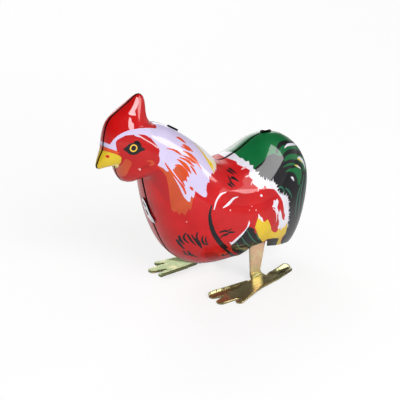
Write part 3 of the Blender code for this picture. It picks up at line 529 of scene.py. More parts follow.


# Black of the seam line: the print's dark edge and painted shadow in the seam
SEAM_EDGE_SHADOW_BLACK = srgb(22, 18, 20)
INK_ROUGHNESS, INK_SHINE = 0.42, 0.15
INK_GRAIN = (0.93, 1.05)
LACQUER_ROUGHNESS, LACQUER_IOR = (0.03, 0.09), 1.5
SADDLE_COAT = 0.25
INKS = {
    "red": ((206, 20, 24), (188, 14, 20)),
    "comb": ((198, 5, 6), (184, 3, 5)),
    "face": ((192, 20, 22), (180, 14, 18)),
    "saddle_red": ((206, 20, 24), (188, 14, 20)),
    # Crimson is painted shade: under the jaw, beside the breast tab and low on the belly
    "crimson_shade": ((176, 10, 16), (160, 8, 14)),
    # Painted shade down the rounded front of the neck
    "neck_front_shade": ((186, 24, 30), (176, 18, 26)),
    "orange_brown": ((206, 84, 40), (190, 66, 34)),
    "orange": ((222, 84, 26), (206, 62, 22)),
    "lilac": ((212, 202, 232), (206, 194, 228)),
    "white": ((236, 232, 240), (226, 222, 234)),
    "yellow": ((236, 202, 44), (222, 184, 34)),
    "beak": ((222, 192, 44), (208, 174, 36)),
    "beak_pale": ((242, 228, 160), (232, 212, 120)),
    "black": ((24, 23, 28), (16, 16, 20)),
    "green": ((8, 112, 58), (4, 98, 50)),
    "line_green": ((48, 112, 88), (36, 98, 76)),
    # Pink is painted highlight: a light's reflection on the comb and down the face, small glints, and streaks
    # on the saddle
    "pink": ((242, 190, 192), (236, 172, 176)),
    "amber": ((244, 196, 66), (230, 176, 50)),
}


def make_inks():
    """Every ink, all under a full coat of lacquer but the saddle's, which is rubbed."""
    made = {}
    for name, (light, dark) in INKS.items():
        coat = SADDLE_COAT if name == "saddle_red" else 1.0
        made[name] = printed_ink(f"ink_{name}", srgb(*light), srgb(*dark), coat)
    return made


METAL_WEAR = 0.06


def metal(name, light, dark, roughness, grain=(1, 1, 1), grain_size=0.35, grain_depth=0.004):
    """A metal with a directional grain, cloudy tarnish and fine scratches."""
    made = Nodes(name)
    cloud = made.between(made.noise(size=5.0, detail=4.0), 0.32, 0.68)
    line = made.noise(grain_size, stretch=grain)
    rough = made.combine(made.between(line, 0.2, 0.8, -METAL_WEAR, METAL_WEAR), roughness)
    return made.finish(
        Base_Color=made.mix(cloud, light, dark), Metallic=1.0, Roughness=rough,
        Normal=made.bump(line, grain_depth),
    )


# ---------------------------------------------------------------- pieces


def add_piece(name, points, faces, looks, slots, body, replaces=(), facing=None):
    """A mesh piece from points in millimetres, riding on a body of the frame.

    The slots say which look each face takes, and facing gives the outward direction at each point.
    """
    mesh = bpy.data.meshes.new(name)
    mesh.from_pydata([Vector(p) * MM for p in points], [], [tuple(int(i) for i in face) for face in faces])
    for look in looks:
        mesh.materials.append(look)
    if slots is not None:
        mesh.polygons.foreach_set("material_index", np.array(slots, np.int32))
    mesh.shade_smooth()
    if facing is not None:
        mesh.normals_split_custom_set_from_vertices([tuple(n) for n in facing])
    mesh.update()
    piece = bpy.data.objects.new(name, mesh)
    bpy.context.scene.collection.objects.link(piece)
    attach(piece, body)
    if replaces:
        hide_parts(*replaces)
    return piece


# ---------------------------------------------------------------- the printed design

LASH_TIP, LASH_SHOULDER = 0.15, 0.85
SPIKE_SWING, SPIKE_TURN = 0.35, 2.4


def smooth(*points):
    """A patch with a smooth outline."""
    return closed_curve(points, ART_STEP)


def sharp(*points):
    """A patch with a cornered outline."""
    return np.array(points, float)


def stroke(points, widths):
    """A brush stroke along a curve, as wide at each of its points as the widths say."""
    path = np.array(curve_through(points, ART_STEP) + [np.array(points[-1], float)])
    across = left_of(np.gradient(path, axis=0))
    reach = lengths_along(path)
    half = np.interp(reach / reach[-1], np.linspace(0, 1, len(widths)), widths)[:, None] / 2
    return np.concatenate([path + across * half, (path - across * half)[::-1]])


def strokes(ink, rows):
    """Brush strokes of one ink, from rows of (points, widths)."""
    for points, widths in rows:
        yield ink, stroke(points, widths)


def lash(start, end, width, bow=0.0):
    """A tapered stroke between two points, bowed to one side."""
    start, end = np.array(start, float), np.array(end, float)
    side = np.array([end[1] - start[1], start[0] - end[0]])
    middle = (start + end) / 2 + side * bow
    shoulder = LASH_SHOULDER * width
    return stroke([start, middle, end], [LASH_TIP, shoulder, width, shoulder, LASH_TIP])


def ragged(points, spacing, reach, lean):
    """A smooth path broken into spikes that stand out to its left, by a reach of uneven lengths."""
    path = curve_through(points, spacing) + [np.array(points[-1], float)]
    broken = []
    for index, (here, after) in enumerate(zip(path, path[1:])):
        along = after - here
        side = np.array([-along[1], along[0]])
        length = reach * (1 - SPIKE_SWING + SPIKE_SWING * math.sin(SPIKE_TURN * index + 1.0))
        broken += [here, here + along * lean + side / np.linalg.norm(side) * length]
    return [*broken, path[-1]]


def head_art():
    """The head: comb, brow, face, eye and beak, with painted highlights on the comb and face and painted
    shade under the jaw.
    """
    yield "comb", sharp(
        (-46.0, 63.9), (-43.4, 63.4), (-42.6, 62.9), (-42.3, 63.5), (-42.0, 64.0), (-41.5, 64.8),
        (-40.9, 65.4), (-39.7, 66.3), (-38.0, 67.0), (-36.5, 67.25), (-34.9, 67.35), (-32.4, 67.2),
        (-30.2, 66.8), (-28.0, 66.2), (-26.3, 65.6), (-24.9, 65.1), (-23.9, 65.2), (-23.6, 65.6),
        (-24.2, 66.2), (-22.0, 70.0), (-24.0, 80.0), (-50.0, 80.0),
    )
    # Pink patches on the comb: a painted reflection of a tall light
    yield "pink", sharp(
        (-35.1, 72.3), (-34.1, 73.0), (-32.4, 74.3), (-30.9, 75.8), (-30.2, 76.4), (-29.8, 76.0),
        (-30.2, 74.9), (-31.5, 73.5), (-32.7, 72.7), (-32.8, 71.3), (-34.0, 71.5), (-34.9, 71.8),
    )
    yield "pink", sharp(
        (-35.3, 71.1), (-34.8, 70.7), (-35.0, 69.7), (-34.4, 69.0), (-34.8, 67.4), (-36.3, 67.25),
        (-36.5, 68.3), (-36.1, 69.8),
    )
    yield "face", smooth(
        (-41.1, 62.9), (-41.0, 64.0), (-39.9, 65.0), (-38.0, 65.6), (-35.8, 65.7), (-33.6, 65.3),
        (-31.0, 64.5), (-29.0, 63.2), (-27.6, 61.4), (-26.5, 59.6), (-26.4, 58.4), (-27.0, 56.8),
        (-26.5, 55.4), (-27.0, 54.0), (-28.0, 52.8), (-29.6, 51.0), (-30.4, 46.0), (-36.0, 44.0),
        (-40.0, 44.0), (-42.0, 52.0), (-39.6, 55.0), (-40.6, 58.6), (-40.8, 61.0),
    )
    yield "orange", sharp(
        (-43.9, 61.9), (-42.9, 61.6), (-41.0, 60.8), (-40.2, 60.0), (-41.0, 59.9), (-43.2, 60.6),
        (-45.0, 60.6),
    )
    yield "beak", sharp(
        (-46.0, 61.0), (-43.2, 60.5), (-41.4, 59.8), (-40.2, 59.0), (-39.6, 58.2), (-39.5, 56.4),
        (-39.6, 55.6), (-39.0, 54.2), (-39.0, 52.4), (-48.0, 52.4), (-48.0, 57.0),
    )
    yield "beak_pale", sharp(
        (-44.0, 54.7), (-42.0, 55.2), (-40.2, 55.6), (-39.2, 54.8), (-39.0, 54.0), (-41.0, 54.4),
    )
    yield "red", circle((-43.5, 58.95), 0.5, 10)
    yield "black", sharp(
        (-39.3, 61.3), (-38.2, 62.1), (-37.0, 63.1), (-35.9, 63.0), (-35.4, 63.5), (-34.4, 63.6),
        (-33.6, 63.2), (-33.1, 62.0), (-32.9, 61.1), (-31.7, 60.3), (-31.9, 59.9), (-33.4, 59.7),
        (-34.6, 59.0), (-35.9, 58.8), (-37.2, 59.2), (-38.2, 60.3),
    )
    yield "amber", circle((-35.85, 61.25), 1.3)
    yield "black", circle((-35.85, 61.25), 0.88)
    # A pink streak down the face: the same painted reflection, carried on past the brow
    yield "pink", stroke(
        ((-34.6, 65.6), (-33.4, 65.0), (-31.4, 63.4), (-29.2, 61.8), (-27.6, 60.4), (-26.6, 59.6)),
        (0.5, 0.45, 0.35, 0.4, 0.5),
    )
    yield "lilac", stroke(((-35.2, 66.6), (-34.6, 65.6), (-33.8, 65.0), (-32.8, 64.5)), (0.9, 0.9, 0.6, 0.25))
    yield "orange_brown", smooth(
        (-38.6, 57.4), (-37.0, 57.0), (-36.2, 55.6), (-36.6, 53.4), (-37.0, 50.6), (-38.4, 50.4),
        (-38.9, 53.0),
    )
    yield "orange_brown", smooth(
        (-31.4, 56.0), (-29.4, 55.8), (-28.4, 54.9), (-28.6, 53.9), (-30.2, 54.0), (-29.6, 55.0),
    )
    # A dark red band under the jaw: painted shade
    yield "crimson_shade", stroke(
        ((-33.6, 52.6), (-32.4, 53.6), (-31.0, 54.0), (-30.0, 53.0)), (0.3, 0.9, 0.8, 0.2),
    )
    # A painted glint beside the dark band under the jaw
    yield "pink", stroke(((-33.8, 53.4), (-33.2, 53.1), (-33.0, 52.5)), (0.2, 0.7, 0.2))


def hackle_art():
    """The neck's long feathers, pale with orange strokes and jagged tips."""
    yield "lilac", sharp(
        (-47.0, 63.8), (-43.2, 63.3), (-42.6, 62.9), (-41.0, 66.0), (-36.0, 68.0), (-24.0, 66.8),
        (-20.0, 72.0), (4.0, 62.0), (0.0, 51.0), (-1.0, 48.4), (-2.6, 47.6), (-3.6, 46.8), (-4.4, 47.6),
        (-5.0, 46.6), (-5.9, 46.4), (-6.4, 46.9), (-7.6, 45.8), (-8.0, 46.4), (-8.6, 45.2), (-8.8, 44.4),
        (-9.6, 44.5), (-10.3, 43.6), (-10.8, 42.2), (-10.7, 41.0), (-11.2, 40.1), (-12.2, 40.2),
        (-13.6, 41.4), (-14.9, 42.8), (-15.4, 41.4), (-15.9, 40.4), (-16.4, 41.4), (-16.8, 40.4),
        (-17.0, 39.2), (-17.8, 39.6), (-18.8, 41.0), (-19.6, 43.2), (-20.4, 45.6), (-21.2, 47.4),
        (-22.2, 49.6), (-23.0, 51.0), (-24.0, 50.8), (-25.2, 52.2), (-27.4, 53.8), (-26.4, 56.0),
        (-26.8, 57.0), (-26.2, 58.6), (-27.4, 60.8), (-28.8, 63.2), (-31.0, 64.8), (-34.0, 65.6),
        (-38.0, 65.8), (-40.6, 64.6), (-41.2, 63.0), (-41.0, 60.8), (-43.0, 61.7), (-45.0, 62.2),
    )


def hackle_strokes():
    """The orange strokes over the hackle, and the yellow tips behind it."""
    yield "white", sharp(
        (-7.4, 58.0), (-6.6, 54.0), (-5.6, 50.0), (-5.2, 47.2), (-4.4, 46.6), (-4.2, 48.2), (-3.5, 47.2),
        (-3.2, 48.8), (-2.5, 47.4), (-2.2, 48.8), (-1.4, 47.8), (-1.0, 49.0), (-0.2, 48.0), (0.6, 49.4),
        (2.0, 52.0), (-2.0, 60.0),
    )
    yield "yellow", stroke(
        ((-8.4, 56.4), (-7.0, 53.6), (-6.0, 51.0), (-5.4, 48.6), (-5.3, 46.4)), (0.2, 0.7, 1.2, 1.3, 0.3),
    )
    tips = (
        ((-4.6, 50.6), (-4.3, 46.9), 0.8), ((-3.4, 49.8), (-3.1, 47.2), 0.55),
        ((-2.2, 49.6), (-1.7, 47.5), 0.5),
    )
    for start, end, width in tips:
        yield "yellow", lash(start, end, width)
    yield "orange_brown", smooth(
        (-21.0, 52.1), (-19.4, 52.0), (-18.0, 50.6), (-16.8, 48.4), (-17.6, 47.6), (-18.6, 46.6),
        (-20.0, 48.8), (-21.4, 50.8),
    )
    yield "orange_brown", smooth(
        (-17.6, 55.3), (-16.0, 54.6), (-13.6, 53.2), (-13.4, 52.6), (-15.2, 53.6), (-17.2, 54.8),
    )
    yield from strokes("orange", (
        (((-23.3, 58.7), (-21.1, 57.9), (-19.2, 56.7), (-17.7, 55.2)), (0.2, 0.5, 0.9, 0.3)),
        (((-17.2, 60.6), (-16.0, 60.0), (-14.6, 58.8), (-13.6, 57.8)), (0.3, 0.9, 0.8, 0.2)),
        (((-16.0, 58.1), (-14.8, 57.5), (-13.4, 56.3), (-11.9, 54.8)), (0.3, 0.9, 1.1, 0.2)),
        (((-16.9, 57.8), (-15.6, 57.2), (-14.2, 56.2), (-12.7, 55.4)), (0.2, 0.6, 0.7, 0.2)),
        (
            ((-16.8, 56.4), (-15.2, 55.4), (-13.4, 53.7), (-12.0, 51.9), (-11.2, 50.4), (-10.6, 49.1)),
            (0.3, 0.8, 1.5, 1.5, 0.8, 0.2),
        ),
        (((-16.4, 54.3), (-14.6, 53.2), (-13.2, 52.2), (-12.2, 51.4)), (0.2, 0.7, 1.1, 0.6)),
        (((-18.9, 54.8), (-16.9, 53.8), (-15.2, 52.4), (-13.6, 50.6)), (0.3, 0.7, 1.0, 0.3)),
        (
            ((-20.0, 54.5), (-18.4, 53.2), (-16.9, 51.5), (-15.9, 49.8), (-15.4, 48.7)),
            (0.2, 0.9, 1.5, 1.2, 0.3),
        ),
        (
            ((-21.2, 52.7), (-19.4, 52.2), (-17.9, 50.6), (-17.0, 49.2), (-16.4, 47.7)),
            (0.3, 0.8, 1.2, 1.2, 0.3),
        ),
        (((-19.6, 50.6), (-18.8, 49.4), (-18.0, 48.0), (-17.4, 46.3)), (0.3, 0.9, 1.0, 0.3)),
        (((-21.9, 51.4), (-20.7, 49.5), (-19.4, 47.3), (-18.3, 44.9)), (0.5, 0.8, 0.8, 0.3)),
        (
            ((-24.7, 54.2), (-23.6, 52.2), (-21.9, 49.5), (-20.3, 47.0), (-19.0, 44.8), (-18.2, 42.1)),
            (0.3, 0.7, 0.6, 0.5, 0.9, 0.5),
        ),
        (((-15.1, 51.2), (-14.3, 50.0), (-13.3, 47.9)), (0.5, 0.8, 0.3)),
    ))
    yield "orange", lash((-16.7, 44.5), (-15.6, 43.0), 0.9, -0.05)


def neck_art():
    """Dark red painted shade down the front of the neck, and the orange-brown side of the neck, with its
    ragged lower edge.
    """
    # Darker red down the rounded front of the neck: painted shade
    yield "neck_front_shade", smooth(
        (-30.4, 50.0), (-27.6, 51.8), (-25.8, 51.4), (-24.4, 49.6), (-23.5, 46.0), (-23.0, 42.0),
        (-23.0, 39.6), (-24.0, 40.4), (-25.2, 43.0), (-26.6, 46.0), (-28.0, 48.0),
    )
    yield "orange_brown", sharp(
        (-27.4, 53.6), (-25.2, 52.6), (-24.0, 51.4), (-22.6, 51.8), (-20.0, 46.6), (-18.0, 42.0),
        (-15.8, 42.0), (-14.8, 43.4), (-15.2, 41.0), (-16.2, 39.6), (-16.6, 37.4), (-17.0, 36.0),
        (-17.4, 37.0), (-18.0, 35.6), (-18.6, 34.3), (-19.4, 35.6), (-20.1, 34.6), (-20.8, 36.0),
        (-21.6, 35.6), (-22.2, 36.8), (-22.8, 41.0), (-23.2, 45.0), (-24.0, 49.0), (-25.6, 51.4),
    )


def body_art():
    """The red body's brush strokes, with painted glints and painted shade."""
    yield from strokes("black", (
        (((-19.0, 24.1), (-17.5, 21.7), (-15.9, 19.7)), (0.5, 0.7, 0.3)),
        (((-18.9, 26.0), (-18.1, 24.0), (-16.6, 21.9)), (0.5, 0.8, 0.3)),
        (((-17.5, 27.4), (-17.7, 25.6), (-16.9, 23.9), (-15.7, 22.7)), (0.35, 0.55, 0.6, 0.3)),
        (((-17.1, 26.8), (-15.4, 24.0), (-13.4, 21.6)), (0.5, 0.65, 0.3)),
        (((-15.8, 26.4), (-14.8, 24.8), (-13.6, 23.3), (-11.1, 19.9)), (0.4, 0.65, 0.9, 0.3)),
        (((-14.2, 27.4), (-14.1, 25.2), (-12.8, 22.8), (-11.1, 19.9)), (0.5, 0.65, 0.8, 0.3)),
        (((-12.2, 25.7), (-12.1, 23.8), (-11.0, 22.0), (-9.6, 21.4)), (0.4, 0.65, 0.7, 0.3)),
        (((-11.1, 25.2), (-10.9, 23.5), (-9.7, 21.5)), (0.4, 0.6, 0.4)),
        (((-15.8, 18.7), (-14.4, 17.0), (-13.2, 16.4)), (0.3, 0.55, 0.4)),
        (((-14.8, 18.9), (-13.1, 16.8), (-10.6, 15.4)), (0.4, 0.75, 0.25)),
    ))
    back_ticks = (
        ((-0.6, 41.9), (1.4, 40.1), 0.9, -0.06), ((0.6, 42.1), (2.8, 40.0), 0.8, -0.06),
        ((1.5, 43.8), (2.0, 41.6), 0.9, 0.1), ((2.2, 42.8), (5.4, 40.8), 1.0, -0.12),
        ((2.6, 44.7), (5.0, 42.9), 0.9, -0.08), ((4.4, 44.7), (6.4, 42.8), 0.9, -0.08),
    )
    for start, end, width, bow in back_ticks:
        yield "black", lash(start, end, width, bow)
    # Small pink dots painted as glints on the wing and the breast
    glint_dots = (
        ((-2.25, 33.5), 0.32), ((6.5, 31.2), 0.2), ((7.8, 32.3), 0.2), ((9.5, 30.5), 0.3),
        ((-17.9, 31.8), 0.22),
    )
    for spot, radius in glint_dots:
        yield "pink", circle(spot, radius, 8)
    # Painted shade in the dent beside the breast tab
    yield "crimson_shade", smooth(
        (-26.9, 39.6), (-26.0, 38.6), (-25.2, 35.8), (-24.5, 33.0), (-23.8, 31.0), (-24.3, 30.2),
        (-26.0, 33.5),
    )
    # Painted shade low on the belly
    yield "crimson_shade", smooth(
        (-9.4, 17.4), (-6.4, 17.4), (-3.6, 15.4), (-2.0, 13.0), (-4.0, 12.6), (-7.6, 14.4),
    )
    yield "black", stroke(((-2.1, 15.0), (-0.8, 14.2), (0.6, 14.8)), (0.7, 0.9, 0.7))
    yield "black", stroke(((2.8, 11.6), (5.6, 10.5), (8.4, 9.6)), (0.3, 0.8, 0.6))


def wing_art():
    """The wing: its front line, highlights, striped tip and small dashes."""
    yield "black", stroke(
        (
            (-9.6, 37.0), (-10.5, 34.0), (-10.2, 30.5), (-8.8, 26.6), (-6.8, 23.4), (-4.2, 20.2),
            (-1.0, 17.2), (3.0, 13.6), (8.0, 10.4), (14.0, 7.4),
        ),
        (0.5, 1.2, 1.5, 1.6, 1.6, 1.5, 1.4, 1.2, 1.1, 1.2),
    )
    yield "white", stroke(((-9.0, 35.2), (-7.6, 38.0), (-5.4, 39.6), (-2.6, 39.8)), (0.3, 0.6, 0.7, 0.25))
    yield "white", stroke(((-5.3, 35.1), (-2.6, 35.9), (0.0, 36.9), (2.4, 36.9)), (0.3, 1.1, 0.7, 0.2))
    yield "black", stroke(((-6.7, 26.2), (-4.5, 26.3), (-3.5, 25.9), (-1.6, 26.5)), (0.7, 0.8, 0.7, 0.35))
    yield "black", stroke(
        ((-6.0, 23.5), (-4.8, 24.7), (-3.7, 24.5), (-2.5, 25.2), (-0.1, 24.7)), (0.3, 0.9, 0.9, 0.85, 0.4),
    )
    yield "black", sharp(
        (-0.5, 18.9), (1.4, 20.6), (3.4, 22.6), (4.8, 24.2), (5.6, 25.2), (7.2, 24.6), (8.8, 23.4),
        (9.2, 22.0), (10.6, 20.6), (12.4, 18.6), (14.4, 16.6), (16.4, 14.8), (19.6, 11.4), (23.0, 6.5),
        (10.6, 7.0), (4.0, 12.6),
    )
    yield "red", stroke(((-1.6, 18.2), (3.0, 14.4), (8.0, 11.0), (13.0, 8.6)), (0.5, 0.7, 0.6, 0.5))
    yield "white", sharp(
        (-1.7, 20.9), (-0.6, 20.6), (2.0, 22.6), (4.2, 24.2), (5.2, 25.4), (5.6, 26.6), (6.1, 27.6),
        (6.4, 26.6), (6.0, 25.4), (5.2, 24.6), (3.6, 22.6), (2.0, 21.2), (0.4, 19.7), (-0.4, 19.3),
        (-0.9, 20.0),
    )
    stripes = (
        ((1.2, 20.4), (4.0, 16.8), (8.6, 13.4), (13.4, 9.6), (16.0, 7.4)),
        ((3.0, 22.2), (6.0, 18.4), (10.4, 15.0), (13.0, 12.6)),
        ((5.0, 24.4), (8.0, 20.2), (11.6, 16.8), (13.8, 15.4)),
        ((9.8, 22.0), (11.6, 19.0), (14.0, 17.0)),
    )
    for stripe in stripes:
        yield "line_green", stroke(stripe, (0.25, 0.45, 0.45, 0.3))


def thigh_art():
    """The yellow and white feathers behind the wing, down to the leg opening."""
    yield "yellow", sharp(
        (9.0, 24.0), (9.6, 26.0), (10.3, 27.6), (10.9, 27.0), (12.0, 26.8), (12.6, 25.6), (13.6, 25.0),
        (15.0, 25.6), (15.6, 24.6), (17.0, 22.0), (17.8, 20.2), (19.4, 18.8), (21.0, 18.2), (22.4, 19.6),
        (23.4, 18.0), (25.0, 19.4), (25.4, 18.2), (26.8, 20.6), (27.6, 17.6), (27.8, 15.0), (26.3, 13.8),
        (26.8, 11.6), (28.8, 9.4), (30.6, 7.0), (27.0, 7.0), (25.0, 11.2), (24.4, 14.2), (20.6, 15.7),
        (17.6, 16.4), (14.0, 15.4), (12.6, 17.4), (11.4, 20.0), (10.0, 22.4),
    )
    yield "white", sharp(
        (10.5, 29.0), (11.4, 27.6), (12.3, 26.9), (12.8, 25.4), (12.2, 25.4), (11.2, 26.9), (10.7, 27.0),
        (10.3, 27.3),
    )
    yield "black", sharp(
        (17.0, 16.4), (20.6, 15.7), (24.4, 14.2), (25.0, 11.2), (26.0, 6.0), (19.0, 6.0), (17.0, 12.0),
    )


def saddle_art():
    """The white ragged feathers between the red body and the green tail, with pink streaks of painted
    reflection.
    """
    towards_tail = ragged(
        (
            (8.4, 47.8), (11.4, 46.6), (13.0, 45.0), (13.8, 43.0), (14.4, 41.0), (15.4, 39.4), (17.6, 38.3),
            (20.2, 37.4), (20.9, 35.6), (21.0, 33.6), (23.2, 32.2), (25.6, 30.8), (26.6, 28.8), (26.4, 26.4),
            (26.8, 23.6), (27.0, 20.4), (27.2, 17.6),
        ),
        0.95, 1.5, 0.5,
    )
    yield "white", np.array([
        *towards_tail, (26.0, 17.0), (25.2, 18.8), (23.8, 17.2), (22.8, 19.8), (22.2, 18.8), (21.2, 20.0),
        (21.4, 22.6), (20.4, 24.6), (20.8, 26.6), (21.8, 28.0), (22.4, 25.4), (23.6, 22.6), (24.6, 22.4),
        (24.0, 25.0), (23.4, 27.4), (23.0, 29.8), (22.2, 31.6), (21.0, 33.4), (20.4, 34.4), (19.4, 35.4),
        (17.6, 36.0), (16.4, 36.4), (15.8, 37.6), (14.6, 36.8), (13.0, 37.0), (12.2, 37.8), (11.0, 39.0),
        (11.6, 40.2), (10.8, 41.0), (11.2, 42.0), (12.4, 42.8), (11.0, 43.8), (9.6, 44.6), (10.2, 45.2),
        (8.0, 46.0), (4.0, 46.4), (4.0, 47.4),
    ])
    yield "red", sharp(
        (17.0, 36.2), (19.4, 35.4), (20.4, 33.8), (21.6, 31.8), (22.0, 29.6), (21.4, 28.6), (20.4, 28.8),
        (19.6, 30.6), (18.0, 32.4), (16.0, 34.0),
    )
    yield "red", sharp(
        (10.6, 27.9), (12.6, 27.4), (15.2, 25.7), (16.4, 23.4), (17.2, 21.6), (18.4, 19.7), (19.7, 19.0),
        (21.0, 19.9), (21.6, 21.6), (20.7, 23.2), (20.0, 25.0), (19.4, 27.6), (18.2, 30.4), (14.0, 32.0),
        (10.0, 31.0),
    )
    yield "red", sharp(
        (20.4, 32.8), (22.4, 31.2), (23.2, 28.8), (22.4, 27.2), (23.6, 25.8), (24.6, 24.4), (24.3, 22.2),
        (23.0, 23.4), (22.0, 26.0), (21.0, 28.2), (20.0, 30.2),
    )
    yield "white", sharp(
        (18.0, 30.6), (18.4, 31.9), (19.3, 31.3), (20.2, 31.9), (20.7, 30.6), (19.8, 28.8), (20.6, 26.4),
        (20.2, 25.6), (19.2, 27.6), (18.4, 29.2), (17.2, 29.6),
    )
    yield "white", stroke(((17.6, 29.0), (19.0, 27.6), (19.6, 25.2), (19.4, 23.2)), (0.2, 0.5, 0.4, 0.2))
    yield "white", sharp((12.3, 34.8), (13.0, 35.3), (13.6, 34.7), (13.2, 34.2))
    # Pink streaks painted as the reflection of a light across the saddle
    reflection_streaks = (
        ((12.0, 43.8), (9.4, 43.4)), ((11.6, 41.6), (9.2, 41.4)), ((11.6, 40.0), (9.8, 38.8)),
        ((13.0, 38.0), (11.8, 36.2)),
    )
    for start, end in reflection_streaks:
        yield "pink", lash(start, end, 0.4)


def tail_art():
    """The green tail, with black sickle feathers round its dark heart."""
    heart_front = (
        (14.4, 38.6), (17.4, 37.6), (20.8, 36.2), (21.4, 33.6), (23.6, 31.8), (25.6, 29.4), (26.0, 26.4),
        (25.8, 23.0), (26.2, 19.0),
    )
    yield "green", sharp(
        (8.6, 47.4), (11.6, 46.2), (12.8, 44.4), (13.2, 42.4), (13.2, 40.4), *heart_front, (28.0, 15.0),
        (30.0, 2.0), (52.0, 2.0), (52.0, 56.0), (8.6, 56.0),
    )
    yield "black", sharp(
        (13.2, 40.4), (13.2, 42.0), (15.0, 43.2), (17.0, 43.8), (19.4, 44.6), (21.8, 45.8), (24.4, 46.0),
        (26.4, 44.8), (28.6, 44.4), (28.8, 43.4), (27.6, 42.4), (29.6, 42.6), (31.6, 42.4), (34.1, 41.6),
        (36.2, 40.6), (38.0, 39.1), (39.1, 37.4), (39.2, 35.8), (41.0, 34.8), (44.0, 34.2), (50.0, 34.0),
        (52.0, 2.0), (28.0, 2.0), (27.0, 15.5), *reversed(heart_front),
    )
    yield "black", stroke(
        ((25.6, 45.8), (27.6, 47.2), (30.2, 47.8), (33.2, 47.3), (36.2, 46.2), (39.6, 44.6), (43.0, 42.4)),
        (0.8, 1.2, 1.2, 1.4, 1.3, 1.2, 0.9),
    )
    yield "black", stroke(
        (
            (27.4, 43.8), (29.2, 44.4), (31.4, 44.7), (33.8, 44.4), (36.6, 43.4), (40.1, 41.6), (43.7, 39.8),
            (46.2, 38.0),
        ),
        (1.0, 1.3, 1.5, 1.6, 1.6, 1.6, 1.5, 1.3),
    )
    yield "white", stroke(
        ((30.6, 46.4), (33.0, 46.6), (36.4, 45.8), (39.4, 44.6), (41.4, 43.6)), (0.3, 0.8, 0.7, 0.6, 0.4),
    )
    yield "green", stroke(
        ((26.6, 41.0), (29.4, 41.1), (31.8, 40.7), (33.9, 39.7), (35.4, 38.6)), (0.2, 0.6, 0.7, 0.9, 0.8),
    )
    yield "green", smooth(
        (27.2, 39.2), (29.4, 39.6), (31.9, 39.2), (34.0, 38.8), (36.0, 38.4), (37.5, 37.4), (37.7, 35.6),
        (36.8, 33.6), (35.2, 32.2), (34.0, 32.6), (34.0, 34.4), (33.0, 36.6), (31.4, 38.0), (29.4, 38.8),
    )
    yield "black", stroke(
        ((29.0, 37.6), (30.8, 37.3), (32.2, 36.2), (32.8, 34.4), (32.4, 32.6)), (0.3, 0.6, 0.8, 0.8, 0.4),
    )
    yield "white", stroke(((29.8, 36.6), (30.9, 35.9), (31.4, 34.8)), (0.4, 1.0, 0.4))
    yield "yellow", stroke(((33.6, 39.7), (35.3, 38.8), (36.9, 37.6)), (0.3, 0.8, 0.3))
    yield "white", stroke(((34.6, 39.2), (35.9, 38.4), (37.2, 37.3)), (0.2, 0.5, 0.3))
    yield "yellow", stroke(((36.2, 41.2), (38.0, 40.2), (39.6, 38.6)), (0.2, 0.7, 0.4))
    yield "white", stroke(
        ((36.6, 41.4), (38.6, 40.5), (40.3, 38.8), (41.3, 37.0), (41.6, 35.4)), (0.3, 0.9, 1.3, 1.1, 0.4),
    )
    yield from strokes("line_green", (
        (((21.2, 34.9), (23.0, 35.2), (24.4, 34.0), (25.0, 32.2)), (0.3, 0.6, 0.6, 0.3)),
        (((25.6, 34.0), (27.4, 32.4), (28.8, 30.4), (28.8, 29.2)), (0.3, 0.8, 0.8, 0.3)),
        (((36.6, 31.8), (34.4, 29.6), (32.8, 26.8), (32.2, 23.6), (32.8, 20.4)), (0.5, 0.8, 0.7, 0.5, 0.2)),
        (
            ((39.4, 34.2), (37.2, 30.8), (35.5, 27.2), (34.9, 23.4), (35.3, 19.6), (36.6, 16.4)),
            (0.7, 0.8, 0.8, 0.7, 0.5, 0.2),
        ),
        (
            ((42.6, 34.0), (40.8, 31.0), (39.2, 27.6), (38.4, 24.0), (38.6, 20.2), (39.6, 16.8)),
            (1.2, 1.3, 1.0, 0.8, 0.6, 0.2),
        ),
        (((46.0, 34.0), (44.6, 30.6), (43.2, 27.0), (42.4, 23.4), (42.2, 19.8)), (1.4, 1.2, 0.9, 0.7, 0.3)),
    ))


def printed_design():
    """Every patch of ink in the order it is laid down, as (ink, outline)."""
    yield "saddle_red", smooth(
        (-8.0, 42.0), (-3.0, 45.0), (4.0, 47.5), (11.0, 47.0), (17.0, 44.0), (18.0, 38.0), (12.0, 37.4),
        (6.0, 38.4), (0.0, 39.6), (-4.6, 39.8),
    )
    for layer in (
        neck_art, hackle_art, hackle_strokes, head_art, tail_art, saddle_art, thigh_art, wing_art, body_art,
    ):
        yield from layer()


# ---------------------------------------------------------------- tinplate body


def thin_walled(front, back, triangles):
    """Faces between two sheets of points that share their triangles, with a wall along the border."""
    shift = len(front)
    edges = border_edges(triangles)
    walls = np.column_stack([edges[:, 1], edges[:, 0], edges[:, 0] + shift, edges[:, 1] + shift])
    faces = [*triangles.tolist(), *(triangles[:, ::-1] + shift).tolist(), *walls.tolist()]
    return np.concatenate([front, back]), faces, edges


def add_body_half(name, side, bulge, patches, corners, triangles, inks, openings):
    """One pressed half with its print outside, bare tin inside and a dark cut edge."""
    corners, triangles = cut_out(corners, triangles, openings)
    middle = corners[triangles].mean(axis=1)
    names = list(inks)
    ink = np.full(len(triangles), names.index("red"))
    for patch_ink, outline in patches:
        ink[inside(middle, outline)] = names.index(patch_ink)
    outer, facing = bulge.surface(corners)
    inner = outer - SHEET * facing
    inner[:, 0] = np.maximum(inner[:, 0], SEAM_HALF_GAP)
    points, faces, edges = thin_walled(outer, inner, triangles)
    points[:, 0] *= side
    if side < 0:
        faces = [face[::-1] for face in faces]
    slots = np.concatenate([ink, np.full(len(triangles), len(names)), np.full(len(edges), len(names) + 1)])
    normals = np.concatenate([facing, -facing]) * (side, 1, 1)
    looks = [*inks.values(), BARE_TIN, CUT_EDGE]
    add_piece(name, points, faces, looks, slots, "body", [name], normals)


